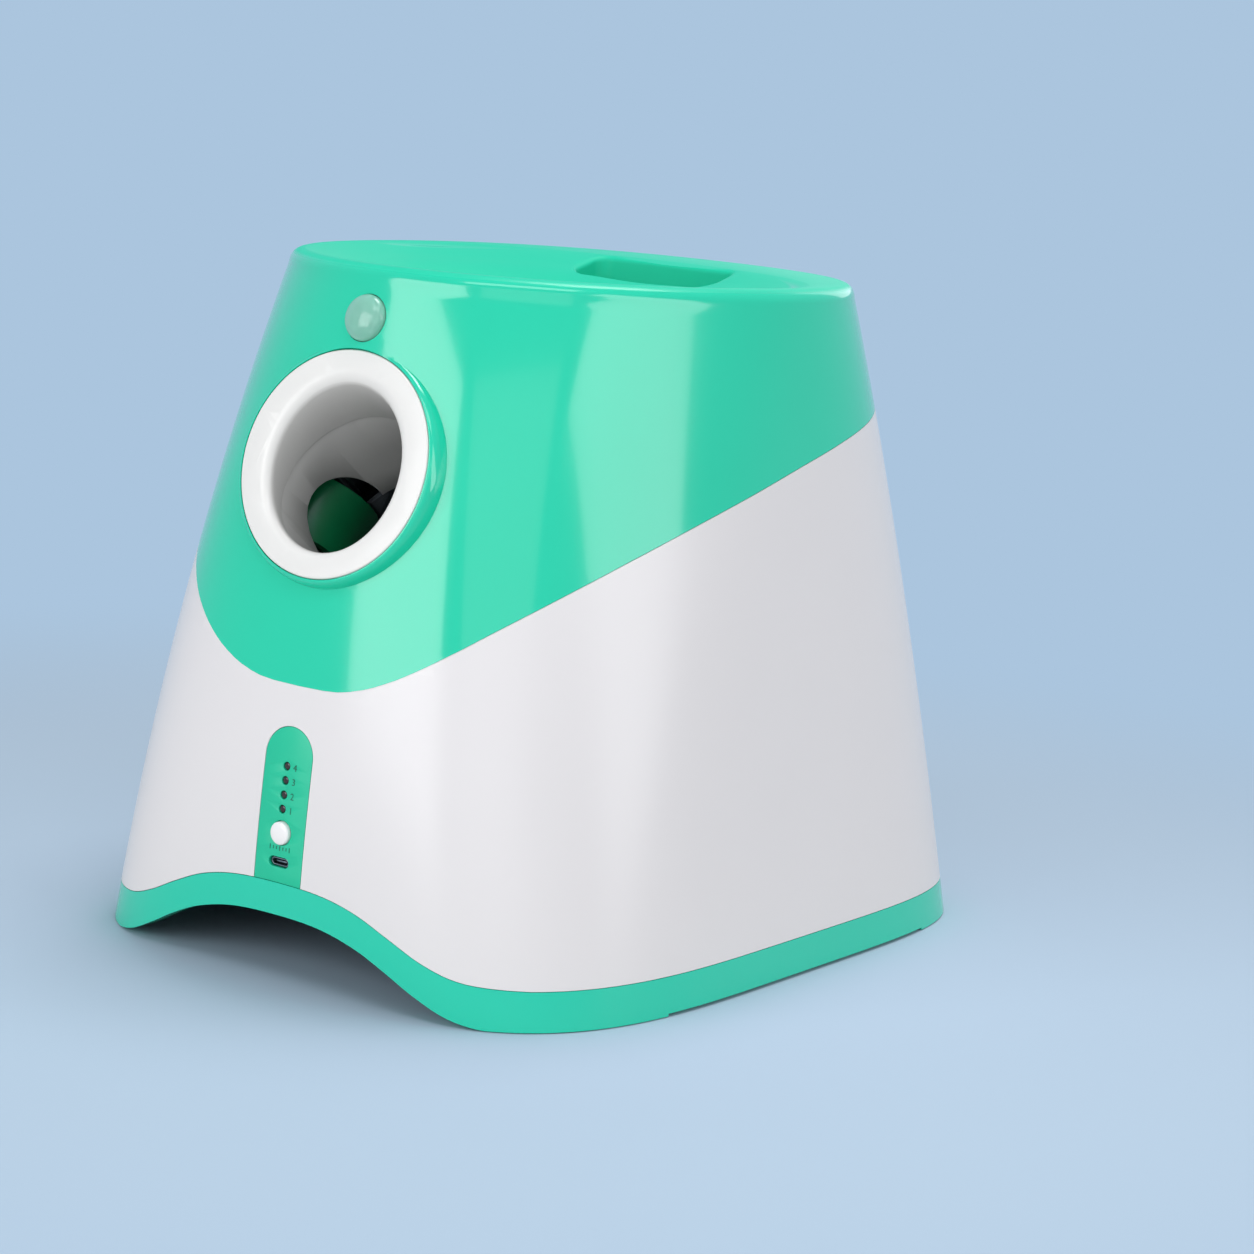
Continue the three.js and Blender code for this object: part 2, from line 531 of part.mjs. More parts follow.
// Ball chute: drop tube, slide and cradle, with a shelf for the gate servo and the ball switch
const placeLocal = intoMechanism;
const GATE = { x: 30, y: -16.5, reach: 62 };
const SHELF = { z0: 209.4, z1: 212 };
let chute = join(
  bar(xyz(throatTop), xyz(slideTop), pathOuter, 16),
  ball(xyz(slideTop), pathOuter, null, 12),
  bar(xyz(slideTop), [0, REST, 0], pathOuter, 16),
  ball([0, REST, 0], pathOuter, null, 12),
  bar([0, REST, 0], [0, BARREL_END + GAP, 0], pathOuter, 16),
  keep(bar([0, BARREL_END + GAP, 0], [0, BARREL_END + 3.3, 0], barrelOuter + 4.5, 20), block(-60, 60, -5,
    9, -60, -20.8)));
const shelfShape = polygon([[-48, -32], [-36, -46], [34, -48], [52, -34], [52, -3], [-48, -3]]);
chute = join(chute, flatPrism(shelfShape, SHELF.z0, SHELF.z1, placeLocal));
const belowBarrelEnd = block(-80, 80, -90, BARREL_END + GAP, -80, 38);
const servoHole = block(GATE.x - 6.5, GATE.x + 17.2, GATE.y - 6.6, GATE.y + 6.6, 200, 220, placeLocal);
const sweep = new THREE.Shape();
const CLOSED_ANGLE = Math.atan2(THROAT.y - GATE.y, -GATE.x);
sweep.moveTo(GATE.x, GATE.y);
for (let i = 0; i <= 6; i += 1) {
  const a = CLOSED_ANGLE + 0.42 - (i / 6) * (THREE.MathUtils.degToRad(70) + 0.84);
  sweep.lineTo(GATE.x + (GATE.reach + 3) * Math.cos(a), GATE.y + (GATE.reach + 3) * Math.sin(a));
}
const behindThroat = block(-70, 70, THROAT.y - 6, 10, 218.4, 224.6, placeLocal);
chute = cut(chute, keep(belowBarrelEnd, bar([0, -90, 0], [0, BARREL_END + GAP, 0], 80, 8)), pathHollow,
  keep(flatPrism(sweep, 218.4, 224.6, placeLocal), behindThroat), servoHole,
  block(-22, -3, -40, -18, 202.2, 207.9, placeLocal),
  ...wells(WHEEL_RADIUS + 2.3));
CHUTE_SCREWS.forEach(([x, z]) => { chute = cut(chute, bar([x, -5, z], [x, 9, z], 1.5, 8)); });
[-9.8, 20.6].forEach((dx) => {
  chute = cut(chute, bar([GATE.x + dx, GATE.y, 205], [GATE.x + dx, GATE.y, 214], 1, 10, placeLocal));
});
part("ball_chute", chute.asOriginal().simplify(FINENESS), 0x3c4248, 0.6, 0, mechanism);

// Flywheels: foam tyre, moulded hub, motor shaft, motor and its steel plate on each side
[["left", -1], ["right", 1]].forEach(([name, side]) => {
  const at = new THREE.Matrix4().makeTranslation(side * WHEEL_X, 0, 0);
  const tread = [];
  for (let i = 0; i <= 2; i += 1) {
    const h = -WHEEL_HALF + i * WHEEL_HALF;
    tread.push([WHEEL_RADIUS - 2 * (1 - (h / WHEEL_HALF) ** 2), h]);
  }
  part(name + "_flywheel_tyre", turned([[20.3, -WHEEL_HALF], ...tread, [20.3, WHEEL_HALF], [20.3,
    -WHEEL_HALF]], 24, at),
    0x1f9a6c, 0.7, 0, mechanism);
  let hub = turned([[2.3, -11], [6, -11], [6, -3], [17, -3], [17, -13], [20, -13], [20, 13], [17, 13], [17,
    3], [6, 3],
    [6, 11], [2.3, 11], [2.3, -11]], 12, at);
  for (let i = 0; i < 4; i += 1) {
    const a = (i / 4) * Math.PI * 2;
    hub = cut(hub, bar([side * WHEEL_X + 11.5 * Math.cos(a), 11.5 * Math.sin(a), -5],
      [side * WHEEL_X + 11.5 * Math.cos(a), 11.5 * Math.sin(a), 5], 4, 5));
  }
  part(name + "_flywheel_hub", hub, 0xd6d8da, 0.5, 0, mechanism);
  part(name + "_motor_shaft", bar([side * WHEEL_X, 0, -13.5], [side * WHEEL_X, 0, 28], 2, 8), 0xb9bdc2,
    0.3, 1, mechanism);
  const can = turned([[2.4, 18.6], [6, 18.6], [6, 20.9], [MOTOR_RADIUS - 1.5, 20.9], [MOTOR_RADIUS, 22.4],
    [MOTOR_RADIUS, 20.9 + MOTOR_LENGTH - 2], [MOTOR_RADIUS - 2, 20.9 + MOTOR_LENGTH], [5,
      20.9 + MOTOR_LENGTH],
    [5, 23.4 + MOTOR_LENGTH], [0, 23.4 + MOTOR_LENGTH], [0, 29], [2.4, 29], [2.4, 18.6]], 12, at);
  const tabs = [-9, 9].map((x) => block(side * WHEEL_X + x - 1.6, side * WHEEL_X + x + 1.6, -0.4, 0.4,
    19.9 + MOTOR_LENGTH, 27 + MOTOR_LENGTH));
  part(name + "_motor", join(can, ...tabs), 0x9fa4aa, 0.35, 1, mechanism);
  const outline = new THREE.Shape();
  outline.moveTo(side * 39.5, 8);
  outline.lineTo(side * 39.5, -24);
  outline.absarc(side * WHEEL_X, 0, 33.5, side > 0 ? -1.4 : Math.PI + 1.4, side > 0 ? 1.4 : Math.PI - 1.4,
    side < 0);
  outline.lineTo(side * 44, 20);
  outline.lineTo(side * 39.5, 8);
  let steel = cut(flatPrism(outline, 18.3, 20.6, null, 8), bar([side * WHEEL_X, 0, 17], [side * WHEEL_X, 0,
    22], 6.4, 14));
  PILLARS.slice(0, 2).forEach(([x, y], i) => {
    steel = cut(steel, bar([side * x, y, 17], [side * x, y, 22], 1.7, 8));
    part(name + "_plate_screw_" + (i + 1), join(bar([side * x, y, 9], [side * x, y, 21.5], 1.1, 6),
      bar([side * x, y, 20.9], [side * x, y, 22.9], 2.7, 10)), 0x8f949a, 0.35, 1, mechanism);
  });
  part(name + "_motor_plate", steel, 0xa9adb2, 0.4, 1, mechanism);
  const [sx, sz] = CHUTE_SCREWS[side > 0 ? 1 : 0];
  part("chute_screw_" + name, join(bar([sx, -4.5, sz], [sx, 5.8, sz], 1.2, 6), bar([sx, 5.7, sz], [sx, 7.7,
    sz], 2.7, 10)),
    0x8f949a, 0.35, 1, mechanism);
});

// Steel stand that carries the launch unit on the base plate
const sideShape = polygon([[-143, PLATE_TOP + GAP], [-84, PLATE_TOP + GAP], [-96, 60],
  ...[[25, -21], [-24, -21]].map(([y, z]) => {
    const p = new THREE.Vector3(0, y, z).applyMatrix4(mechanismPlace);
    return [p.y, p.z];
  }), [-150, 150]]);
const windowShape = polygon([[-136, 62], [-105, 62], [-116, 140], [-138, 148]]);
let stand = block(-70, 70, -143, -84, PLATE_TOP + GAP, PLATE_TOP + GAP + 2.4);
[-1, 1].forEach((side) => {
  const x0 = side > 0 ? 67.6 : -70;
  stand = join(stand, cut(sidePrism(sideShape, x0, x0 + 2.4), sidePrism(windowShape, x0 - 2, x0 + 5)),
    block(Math.min(side * 50, side * 70), Math.max(side * 50, side * 70), -24, 25, -23.3, -20.9,
      mechanismPlace));
  stand = cut(stand, bar([side * 61, -8, -26], [side * 61, -8, -19], 1.7, 8, mechanismPlace));
});
stand = cut(stand, block(-30, 30, -132, -95, PLATE_TOP - 1, PLATE_TOP + 5));
STAND_SCREWS.forEach(([x, y]) => { stand = cut(stand, bar([x, y, PLATE_TOP - 1], [x, y, PLATE_TOP + 5],
  1.9, 8)); });
part("launcher_stand", stand, 0xa9adb2, 0.45, 1);
STAND_SCREWS.forEach(([x, y], i) => {
  part("stand_screw_" + (i + 1), join(bar([x, y, PLATE_BOTTOM - 1], [x, y, PLATE_TOP + 3.2], 1.5, 6),
    bar([x, y, PLATE_TOP + 3.1], [x, y, PLATE_TOP + 5.3], 3.2, 10)), 0x8f949a, 0.35, 1);
});
part("base_plate", plate.asOriginal().simplify(FINENESS), 0x2b2e31, 0.7);

// Long case screws, from under the base plate up into the cover posts
[["front_right", 0], ["front_left", 1], ["rear_right", 2], ["rear_left", 3]].forEach(([name, i]) => {
  const [x, y] = POSTS[i];
  part("case_screw_" + name, join(bar([x, y, PLATE_BOTTOM - 1.2], [x, y, POST_SPLIT + 22], SCREW_RADIUS, 6),
    bar([x, y, PLATE_BOTTOM - 3.4], [x, y, PLATE_BOTTOM - 1.1], 3.6, 10)), 0x8f949a, 0.35, 1);
});

// Feed gate and its servo
const SERVO = { x0: GATE.x - 6, x1: GATE.x + 16.8, y0: GATE.y - 6.1, y1: GATE.y + 6.1, z0: 190, z1: 216 };
let servo = join(block(SERVO.x0, SERVO.x1, SERVO.y0, SERVO.y1, SERVO.z0, SERVO.z1),
  block(SERVO.x0 - 6, SERVO.x1 + 6, SERVO.y0, SERVO.y1, SHELF.z1 + GAP, SHELF.z1 + 2.6),
  bar([GATE.x, GATE.y, 215], [GATE.x, GATE.y, 217.6], 5.8, 14), bar([GATE.x, GATE.y, 217], [GATE.x, GATE.y,
    223], 2.2, 8));
[-9.8, 20.6].forEach((dx, i) => {
  servo = cut(servo, bar([GATE.x + dx, GATE.y, 211], [GATE.x + dx, GATE.y, 217], 1.2, 10));
  part("servo_screw_" + (i + 1), join(bar([GATE.x + dx, GATE.y, 206], [GATE.x + dx, GATE.y, 215.4], 0.7, 6),
    bar([GATE.x + dx, GATE.y, SHELF.z1 + 2.9], [GATE.x + dx, GATE.y, SHELF.z1 + 4.5], 1.9, 8)), 0x8f949a,
      0.35, 1);
});
part("gate_servo", servo, 0x2a4f8f, 0.5);
const armShape = new THREE.Shape();
armShape.absarc(0, 0, 6.5, Math.PI / 2, -Math.PI / 2, false);
armShape.lineTo(GATE.reach - 6, -6);
armShape.absarc(GATE.reach - 6, 0, 6, -Math.PI / 2, Math.PI / 2, false);
armShape.lineTo(0, 6.5);
const armPlace = new THREE.Matrix4().makeRotationZ(CLOSED_ANGLE).setPosition(GATE.x, GATE.y, 0);
const gateHub = bar([0, 0, 218], [0, 0, 224.2], 6.5, 12, armPlace);
part("feed_gate", cut(join(flatPrism(armShape, 219.5, 223.5, armPlace, 5), gateHub),
  bar([0, 0, 217], [0, 0, 223.4], 2.5, 8, armPlace)),
  0xf0a030, 0.5);

// Ball switch with its steel lever reaching into the drop tube
const SWITCH = { x0: -46, x1: -26, y0: -15, y1: -6, z0: 202.3, z1: 209.1 };
const PIVOT = [-44, -17.6];
const switchBody = join(block(SWITCH.x0, SWITCH.x1, SWITCH.y0, SWITCH.y1, SWITCH.z0, SWITCH.z1),
  ...[[SWITCH.z0, SWITCH.z0 + 0.7], [SWITCH.z1 - 0.7, SWITCH.z1]].map(([a, b]) =>
    block(SWITCH.x0, SWITCH.x0 + 4, -19, -14, a, b)),
  block(-33, -31, -20.1, -14.5, 204.7, 206.7));
part("ball_switch", switchBody, 0x17181a, 0.5);
const LEVER_ANGLE = Math.atan2(-33.5 - PIVOT[1], -9 - PIVOT[0]);
const leverPlace = new THREE.Matrix4().makeRotationZ(LEVER_ANGLE).setPosition(PIVOT[0], PIVOT[1], 0);
part("ball_switch_lever", join(bar([0, 0, 203.4], [0, 0, 208], 1, 8, leverPlace),
  block(0, 37, -0.4, 0.4, 203.4, 207.4, leverPlace), bar([37, 0, 203.4], [37, 0, 207.4], 1.2, 8,
    leverPlace)), 0xb9bdc2, 0.3, 1);

// Motion sensor behind its milky dome
const dome = [];
for (let i = 0; i <= 4; i += 1) {
  const a = (i / 4) * Math.PI / 2;
  dome.push([SENSOR_RADIUS * Math.cos(a), 5.6 * Math.sin(a)]);
}
const domeInside = dome.map(([r, h]) => [Math.max(0, r * 0.88), h * 0.8 - 0.2]).reverse();
part("sensor_lens", turned([[0, 4.28], ...domeInside.slice(1), [9.06, -5.4], [13.2, -5.4], [13.2, -4.5],
  [SENSOR_RADIUS, -4.5],
  ...dome.slice(0, -1), [0, 5.6], [0, 4.28]], 14, sensorPlace), 0xb5dccf, 0.25);
part("sensor_holder", turned([[14.2, -5.7], [14.2, -15.2], [0, -15.2], [0, -13.8], [12.6, -13.8], [12.6,
  -5.7], [14.2, -5.7]], 16, sensorPlace),
  0x1b1c1e, 0.6);
part("sensor_board", turned([[0, -13.3], [11.9, -13.3], [11.9, -11.9], [4.6, -11.9], [4.6, -8.2], [0,
  -8.2], [0, -13.3]], 14, sensorPlace),
  0x1f6b45, 0.6);

// Control strip, button, indicator windows, charging port and their board
const slotShape = (half, r, z) => {
  const shape = new THREE.Shape();
  shape.absarc(half - r, z, r, -Math.PI / 2, Math.PI / 2, false);
  shape.absarc(-half + r, z, r, Math.PI / 2, Math.PI * 1.5, false);
  return shape;
};
let strip = keep(cut(outer, outer.translate([0, STRIP.thickness, 0])),
  frontPrism(stadium(STRIP.halfWidth, 20, 0), -210, -150, null, 8));
strip = cut(strip, underEdge(GAP, -100),
  bar([0, -210, BUTTON_Z], [0, -150, BUTTON_Z], BUTTON_RADIUS + 0.35, 18),
  frontPrism(slotShape(5.6, 2.3, PORT_Z), -210, -150, null, 5));
LED_HEIGHTS.forEach((z) => { strip = cut(strip, bar([LED_X, -210, z], [LED_X, -150, z], 1.95, 8)); });
part("control_strip", strip, 0x17c19a, 0.3);
const face = frontLine(BUTTON_Z);
part("mode_button", turned([[0, -3.4], [6.6, -3.4], [6.6, -4.4], [2.2, -4.4], [2.2, -8.2], [0, -8.2], [0,
  -3.4]], 12,
  new THREE.Matrix4().makeRotationX(Math.PI / 2).setPosition(0, face, BUTTON_Z)).add(
  turned([[0, -3.6], [BUTTON_RADIUS, -3.6], [BUTTON_RADIUS, 1.1], [4.4, 1.75], [2.6, 2.1], [0, 2.2], [0,
    -3.6]], 14,
    new THREE.Matrix4().makeRotationX(Math.PI / 2).setPosition(0, face, BUTTON_Z))), 0xf4f4f5, 0.3);
LED_HEIGHTS.forEach((z, i) => {
  const y = frontLine(z);
  part("led_window_" + (i + 1), bar([LED_X, y + 0.25, z], [LED_X, y + 3.2, z], 1.6, 10), 0x2a1d18, 0.2);
});
const BOARD_Y = -178;
let controlBoard = block(-11.8, 11.8, BOARD_Y, BOARD_Y + 1.6, 51.5, 106);
LED_HEIGHTS.forEach((z) => { controlBoard = join(controlBoard, bar([LED_X, BOARD_Y + 0.5, z], [LED_X,
  frontLine(z) + 4, z], 1.3, 6)); });
controlBoard = join(controlBoard, block(-3, 3, face + 9.9, BOARD_Y + 0.5, BUTTON_Z - 3, BUTTON_Z + 3),
  block(-8, -3, BOARD_Y + 1, BOARD_Y + 5, 84, 96));
part("control_board", controlBoard, 0x1f6b45, 0.6);
const portFace = frontLine(PORT_Z) + 1.1;
part("charging_port", join(cut(frontPrism(slotShape(4.9, 1.7, PORT_Z), portFace, BOARD_Y - GAP, null, 5),
  frontPrism(slotShape(4.3, 1.2, PORT_Z), portFace - 1, portFace + 5, null, 5)),
block(-2.8, 2.8, portFace + 1, portFace + 6, PORT_Z - 0.35, PORT_Z + 0.35)), 0x8d9196, 0.35, 1);

// Power and control on the base plate
part("battery_pack", sidePrism(roundedRect(TRAY.y0 + 0.5, TRAY.y1 - 0.5, PLATE_TOP + 0.4, PLATE_TOP + 38,
  9.3), -36, 36), 0x2d6fb5, 0.45);
let board = block(-46, 46, 61, 131, PLATE_TOP + 8.3, PLATE_TOP + 9.9);
board = join(board,
  block(-38, -18, 74, 92, PLATE_TOP + 9.5, PLATE_TOP + 24),
  block(-8, 6, 100, 114, PLATE_TOP + 9.5, PLATE_TOP + 12),
  block(16, 34, 70, 76, PLATE_TOP + 9.5, PLATE_TOP + 17),
  block(16, 34, 110, 116, PLATE_TOP + 9.5, PLATE_TOP + 17),
  bar([-28, 106, PLATE_TOP + 9.5], [-28, 106, PLATE_TOP + 26], 6.3, 12),
  bar([24, 92, PLATE_TOP + 9.5], [24, 92, PLATE_TOP + 22], 5, 12));
part("main_board", board, 0x1f6b45, 0.6);
part("speaker", turned([[0, PLATE_TOP + GAP], [19.8, PLATE_TOP + GAP], [20, PLATE_TOP + 2.5], [11,
  PLATE_TOP + 8], [11, PLATE_TOP + 12.5],
  [0, PLATE_TOP + 12.5], [0, PLATE_TOP + GAP]], 20, new THREE.Matrix4().makeTranslation(SPEAKER[0],
    SPEAKER[1], 0)), 0x222426, 0.5);

export default group;
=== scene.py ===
import math

import bpy
from mathutils import Matrix, Vector


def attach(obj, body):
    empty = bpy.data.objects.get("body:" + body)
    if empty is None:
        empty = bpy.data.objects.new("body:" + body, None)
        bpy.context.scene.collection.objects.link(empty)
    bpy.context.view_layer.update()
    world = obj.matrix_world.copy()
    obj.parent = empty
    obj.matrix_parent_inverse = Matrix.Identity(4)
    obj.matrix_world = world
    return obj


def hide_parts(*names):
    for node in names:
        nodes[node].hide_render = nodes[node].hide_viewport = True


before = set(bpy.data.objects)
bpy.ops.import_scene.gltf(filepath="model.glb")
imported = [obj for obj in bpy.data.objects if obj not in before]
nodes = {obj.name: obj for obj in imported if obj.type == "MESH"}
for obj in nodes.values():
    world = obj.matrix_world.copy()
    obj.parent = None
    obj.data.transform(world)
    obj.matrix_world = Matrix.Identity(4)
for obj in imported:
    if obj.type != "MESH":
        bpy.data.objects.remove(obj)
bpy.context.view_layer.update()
mm = 0.001
print("frame loaded:", len(nodes), "nodes")


def selectOnly(piece):
    bpy.ops.object.select_all(action="DESELECT")
    piece.select_set(True)
    bpy.context.view_layer.objects.active = piece


def copyOf(piece, name):
    twin = bpy.data.objects.new(name, piece.data.copy())
    bpy.context.scene.collection.objects.link(twin)
    return twin


def drop(*pieces):
    for piece in pieces:
        bpy.data.objects.remove(piece, do_unlink=True)


def smoothLine(points, steps):
    # an even curve through the points
    line = []
    last = len(points) - 1
    for k in range(steps + 1):
        along = k / steps * last
        i = min(int(along), last - 1)
        u = along - i
        near = points[max(i - 1, 0)], points[i], points[i + 1], points[min(i + 2, last)]
        line.append(tuple(
            0.5 * (2 * b + (c - a) * u + (2 * a - 5 * b + 4 * c - d) * u * u
                   + (3 * b - a - 3 * c + d) * u ** 3)
            for a, b, c, d in zip(*near)))
    return line


def ringStack(name, rings, place=None):
    # a cylinder cut into one level for each outline, each level then drawn out to it (millimetres)
    count, levels = len(rings[0]), len(rings)
    bpy.ops.object.select_all(action="DESELECT")
    bpy.ops.mesh.primitive_cylinder_add(vertices=count, radius=1, depth=2, end_fill_type="NGON")
    piece = bpy.context.object
    piece.name = name
    bpy.ops.object.mode_set(mode="EDIT")
    for k in range(1, levels - 1):
        bpy.ops.mesh.select_all(action="SELECT")
        bpy.ops.mesh.bisect(plane_co=(0, 0, -1 + 2 * k / (levels - 1)), plane_no=(0, 0, 1))
    bpy.ops.object.mode_set(mode="OBJECT")
    for v in piece.data.vertices:
        k = round((v.co.z + 1) / 2 * (levels - 1))
        i = round((math.atan2(v.co.y, v.co.x) - math.pi / 2) / (2 * math.pi) * count) % count
        point = Vector(rings[k][i])
        v.co = (place @ point if place else point) * mm
    faceOut(piece)
    return piece


def prism(name, outline, axis, start, end, place=None):
    # an outline pushed along one axis (millimetres)
    bpy.ops.object.select_all(action="DESELECT")
    bpy.ops.mesh.primitive_circle_add(vertices=len(outline), radius=1, fill_type="NGON")
    piece = bpy.context.object
    piece.name = name
    turn = {"X": lambda a, b, c: (c, a, b),
            "Y": lambda a, b, c: (a, c, b),
            "Z": lambda a, b, c: (a, b, c)}[axis]
    for v, (a, b) in zip(piece.data.vertices, outline):
        v.co = Vector(turn(a, b, start))
    bpy.ops.object.mode_set(mode="EDIT")
    bpy.ops.mesh.select_all(action="SELECT")
    bpy.ops.mesh.extrude_region_move(TRANSFORM_OT_translate={"value": Vector(turn(0, 0, end - start))})
    bpy.ops.object.mode_set(mode="OBJECT")
    for v in piece.data.vertices:
        v.co = (place @ v.co if place else v.co) * mm
    faceOut(piece)
    return piece


def faceOut(piece):
    selectOnly(piece)
    bpy.ops.object.mode_set(mode="EDIT")
    bpy.ops.mesh.select_all(action="SELECT")
    bpy.ops.mesh.normals_make_consistent(inside=False)
    bpy.ops.object.mode_set(mode="OBJECT")


beyond = {"x": 200, "y": 250}  # half sizes of a layer that reaches past the object
axisRadius = 0.01  # a turned form's ring where it meets its axis


def block(x0, x1, y0, y1, z0, z1, place=None):
    return prism("block", [(x0, y0), (x1, y0), (x1, y1), (x0, y1)], "Z", z0, z1, place)


def sideBlock(side, near, far, *rest):
    # a block on the right or on the left, told by its distances from the middle
    x0, x1 = sorted((side * near, side * far))
    return block(x0, x1, *rest)


def slab(low, high):
    return block(-beyond["x"], beyond["x"], -beyond["y"], beyond["y"], low, high)


def disc(name, profile, sides, place=None):
    # a turned form: (radius, height) pairs about its own Z axis
    turns = [2 * math.pi * i / sides for i in range(sides)]
    profile = [(max(r, axisRadius), h) for r, h in profile]
    rings = [[(r * math.cos(t), r * math.sin(t), h) for t in turns] for r, h in profile]
    return ringStack(name, rings, place)


def rod(a, b, radius, sides=32, place=None):
    # a round bar between two points
    a, b = Vector(a), Vector(b)
    turn = Vector((0, 0, 1)).rotation_difference(b - a).to_matrix().to_4x4()
    own = Matrix.Translation(a) @ turn
    return disc("rod", [(radius, 0), (radius, (b - a).length)], sides, place @ own if place else own)


def combine(piece, tool, how, keepTool=False):
    selectOnly(piece)
    bpy.ops.object.modifier_add(type="BOOLEAN")
    change = piece.modifiers[-1]
    change.operation = how
    change.solver = "MANIFOLD"
    change.object = tool
    bpy.ops.object.modifier_apply(modifier=change.name)
    if not keepTool:
        drop(tool)
    return piece


def cut(piece, *tools):
    for tool in tools:
        combine(piece, tool, "DIFFERENCE")
    return piece


def join(piece, *tools):
    for tool in tools:
        combine(piece, tool, "UNION")
    return piece


def both(piece, tool):
    return combine(piece, tool, "INTERSECT")


def insideOf(piece, form):
    return combine(piece, form, "INTERSECT", keepTool=True)


def outsideOf(piece, form):
    return combine(piece, form, "DIFFERENCE", keepTool=True)


def smoothed(piece, degrees=32):
    selectOnly(piece)
    bpy.ops.object.shade_smooth_by_angle(angle=math.radians(degrees))
    return piece


def softEdges(piece, width, steps=2, degrees=40):
    selectOnly(piece)
    bpy.ops.object.modifier_add(type="BEVEL")
    change = piece.modifiers[-1]
    change.width = width * mm
    change.segments = steps
    change.limit_method = "ANGLE"
    change.angle_limit = math.radians(degrees)
    change.use_clamp_overlap = True
    bpy.ops.object.modifier_apply(modifier=change.name)
    return piece


def toLinear(hexColour):
    parts = [int(hexColour[i:i + 2], 16) / 255 for i in (1, 3, 5)]
    return tuple(c / 12.92 if c <= 0.04045 else ((c + 0.055) / 1.055) ** 2.4 for c in parts) + (1,)


def addNode(tree, kind, settings=None, values=None, links=None):
    node = tree.nodes.new(kind)
    for key, value in (settings or {}).items():
        setattr(node, key, value)
    for key, value in (values or {}).items():
        node.inputs[key].default_value = value
    for key, source in (links or {}).items():
        tree.links.new(source, node.inputs[key])
    return node


satin = {"halfWidth": 115, "halfDepth": 113, "middle": -29, "edge": 0.97,
         "deckLow": 307.5, "deckHigh": 309.3, "shine": 0.2}


def satinShare(tree, where):
    # 1 in the bowl and on the deck, whose faces come from a matt part of the tool
    flat = addNode(tree, "ShaderNodeMapping",
                   values={"Scale": (1 / (satin["halfWidth"] * mm), 1 / (satin["halfDepth"] * mm), 0),
                           "Location": (0, -satin["middle"] / satin["halfDepth"], 0)},
                   links={"Vector": where.outputs["Object"]})
    reach = addNode(tree, "ShaderNodeVectorMath", settings={"operation": "LENGTH"},
                    links={0: flat.outputs["Vector"]})
    bowl = addNode(tree, "ShaderNodeMapRange", values={"From Min": 1, "From Max": satin["edge"]},
                   links={"Value": reach.outputs["Value"]})
    parts = addNode(tree, "ShaderNodeSeparateXYZ", links={"Vector": where.outputs["Object"]})
    deck = addNode(tree, "ShaderNodeMapRange",
                   values={"From Min": satin["deckLow"] * mm, "From Max": satin["deckHigh"] * mm},
                   links={"Value": parts.outputs["Z"]})
    return addNode(tree, "ShaderNodeMath", settings={"operation": "MAXIMUM"},
                   links={0: bowl.outputs["Result"], 1: deck.outputs["Result"]})


# painted shade: the tube's colour goes toward near black with the depth behind the flange, less on its left
# wall, where light falls in
paintedBoreShade = {"inward": (0, 0.9641, -0.2656), "start": -222.6, "end": -174, "power": 0.4,
          "left": -34, "right": 20, "leftShare": 0.45}


def rubbedShare(tree, where):
    # 0 on the flange's face, growing with the depth behind it: painted shade inside the tube, weaker on the
    # left wall where light falls in
    depth = addNode(tree, "ShaderNodeVectorMath", settings={"operation": "DOT_PRODUCT"},
                    values={1: paintedBoreShade["inward"]}, links={0: where.outputs["Object"]})
    start = addNode(tree, "ShaderNodeMapRange",
                    values={"From Min": paintedBoreShade["start"] * mm, "From Max": paintedBoreShade["end"] * mm},
                    links={"Value": depth.outputs["Value"]})
    grown = addNode(tree, "ShaderNodeMath", settings={"operation": "POWER"}, values={1: paintedBoreShade["power"]},
                    links={0: start.outputs["Result"]})
    parts = addNode(tree, "ShaderNodeSeparateXYZ", links={"Vector": where.outputs["Object"]})
    side = addNode(tree, "ShaderNodeMapRange",
                   values={"From Min": paintedBoreShade["left"] * mm, "From Max": paintedBoreShade["right"] * mm,
                           "To Min": paintedBoreShade["leftShare"], "To Max": 1},
                   links={"Value": parts.outputs["X"]})
    return addNode(tree, "ShaderNodeMath", settings={"operation": "MULTIPLY"},
                   links={0: grown.outputs[0], 1: side.outputs["Result"]})


plainLook = {"stretch": (1, 1, 1), "driftSize": 60, "metal": 0, "coat": 0, "milk": 0, "satin": 0,
             "paintedBoreShade": ""}
skin = {"toneDetail": 2, "toneRough": 0.5, "glossDrift": 0.02, "grainDetail": 3, "grainRough": 0.6,
        "ior": 1.5, "coatRough": 0.05, "milkReach": 3}


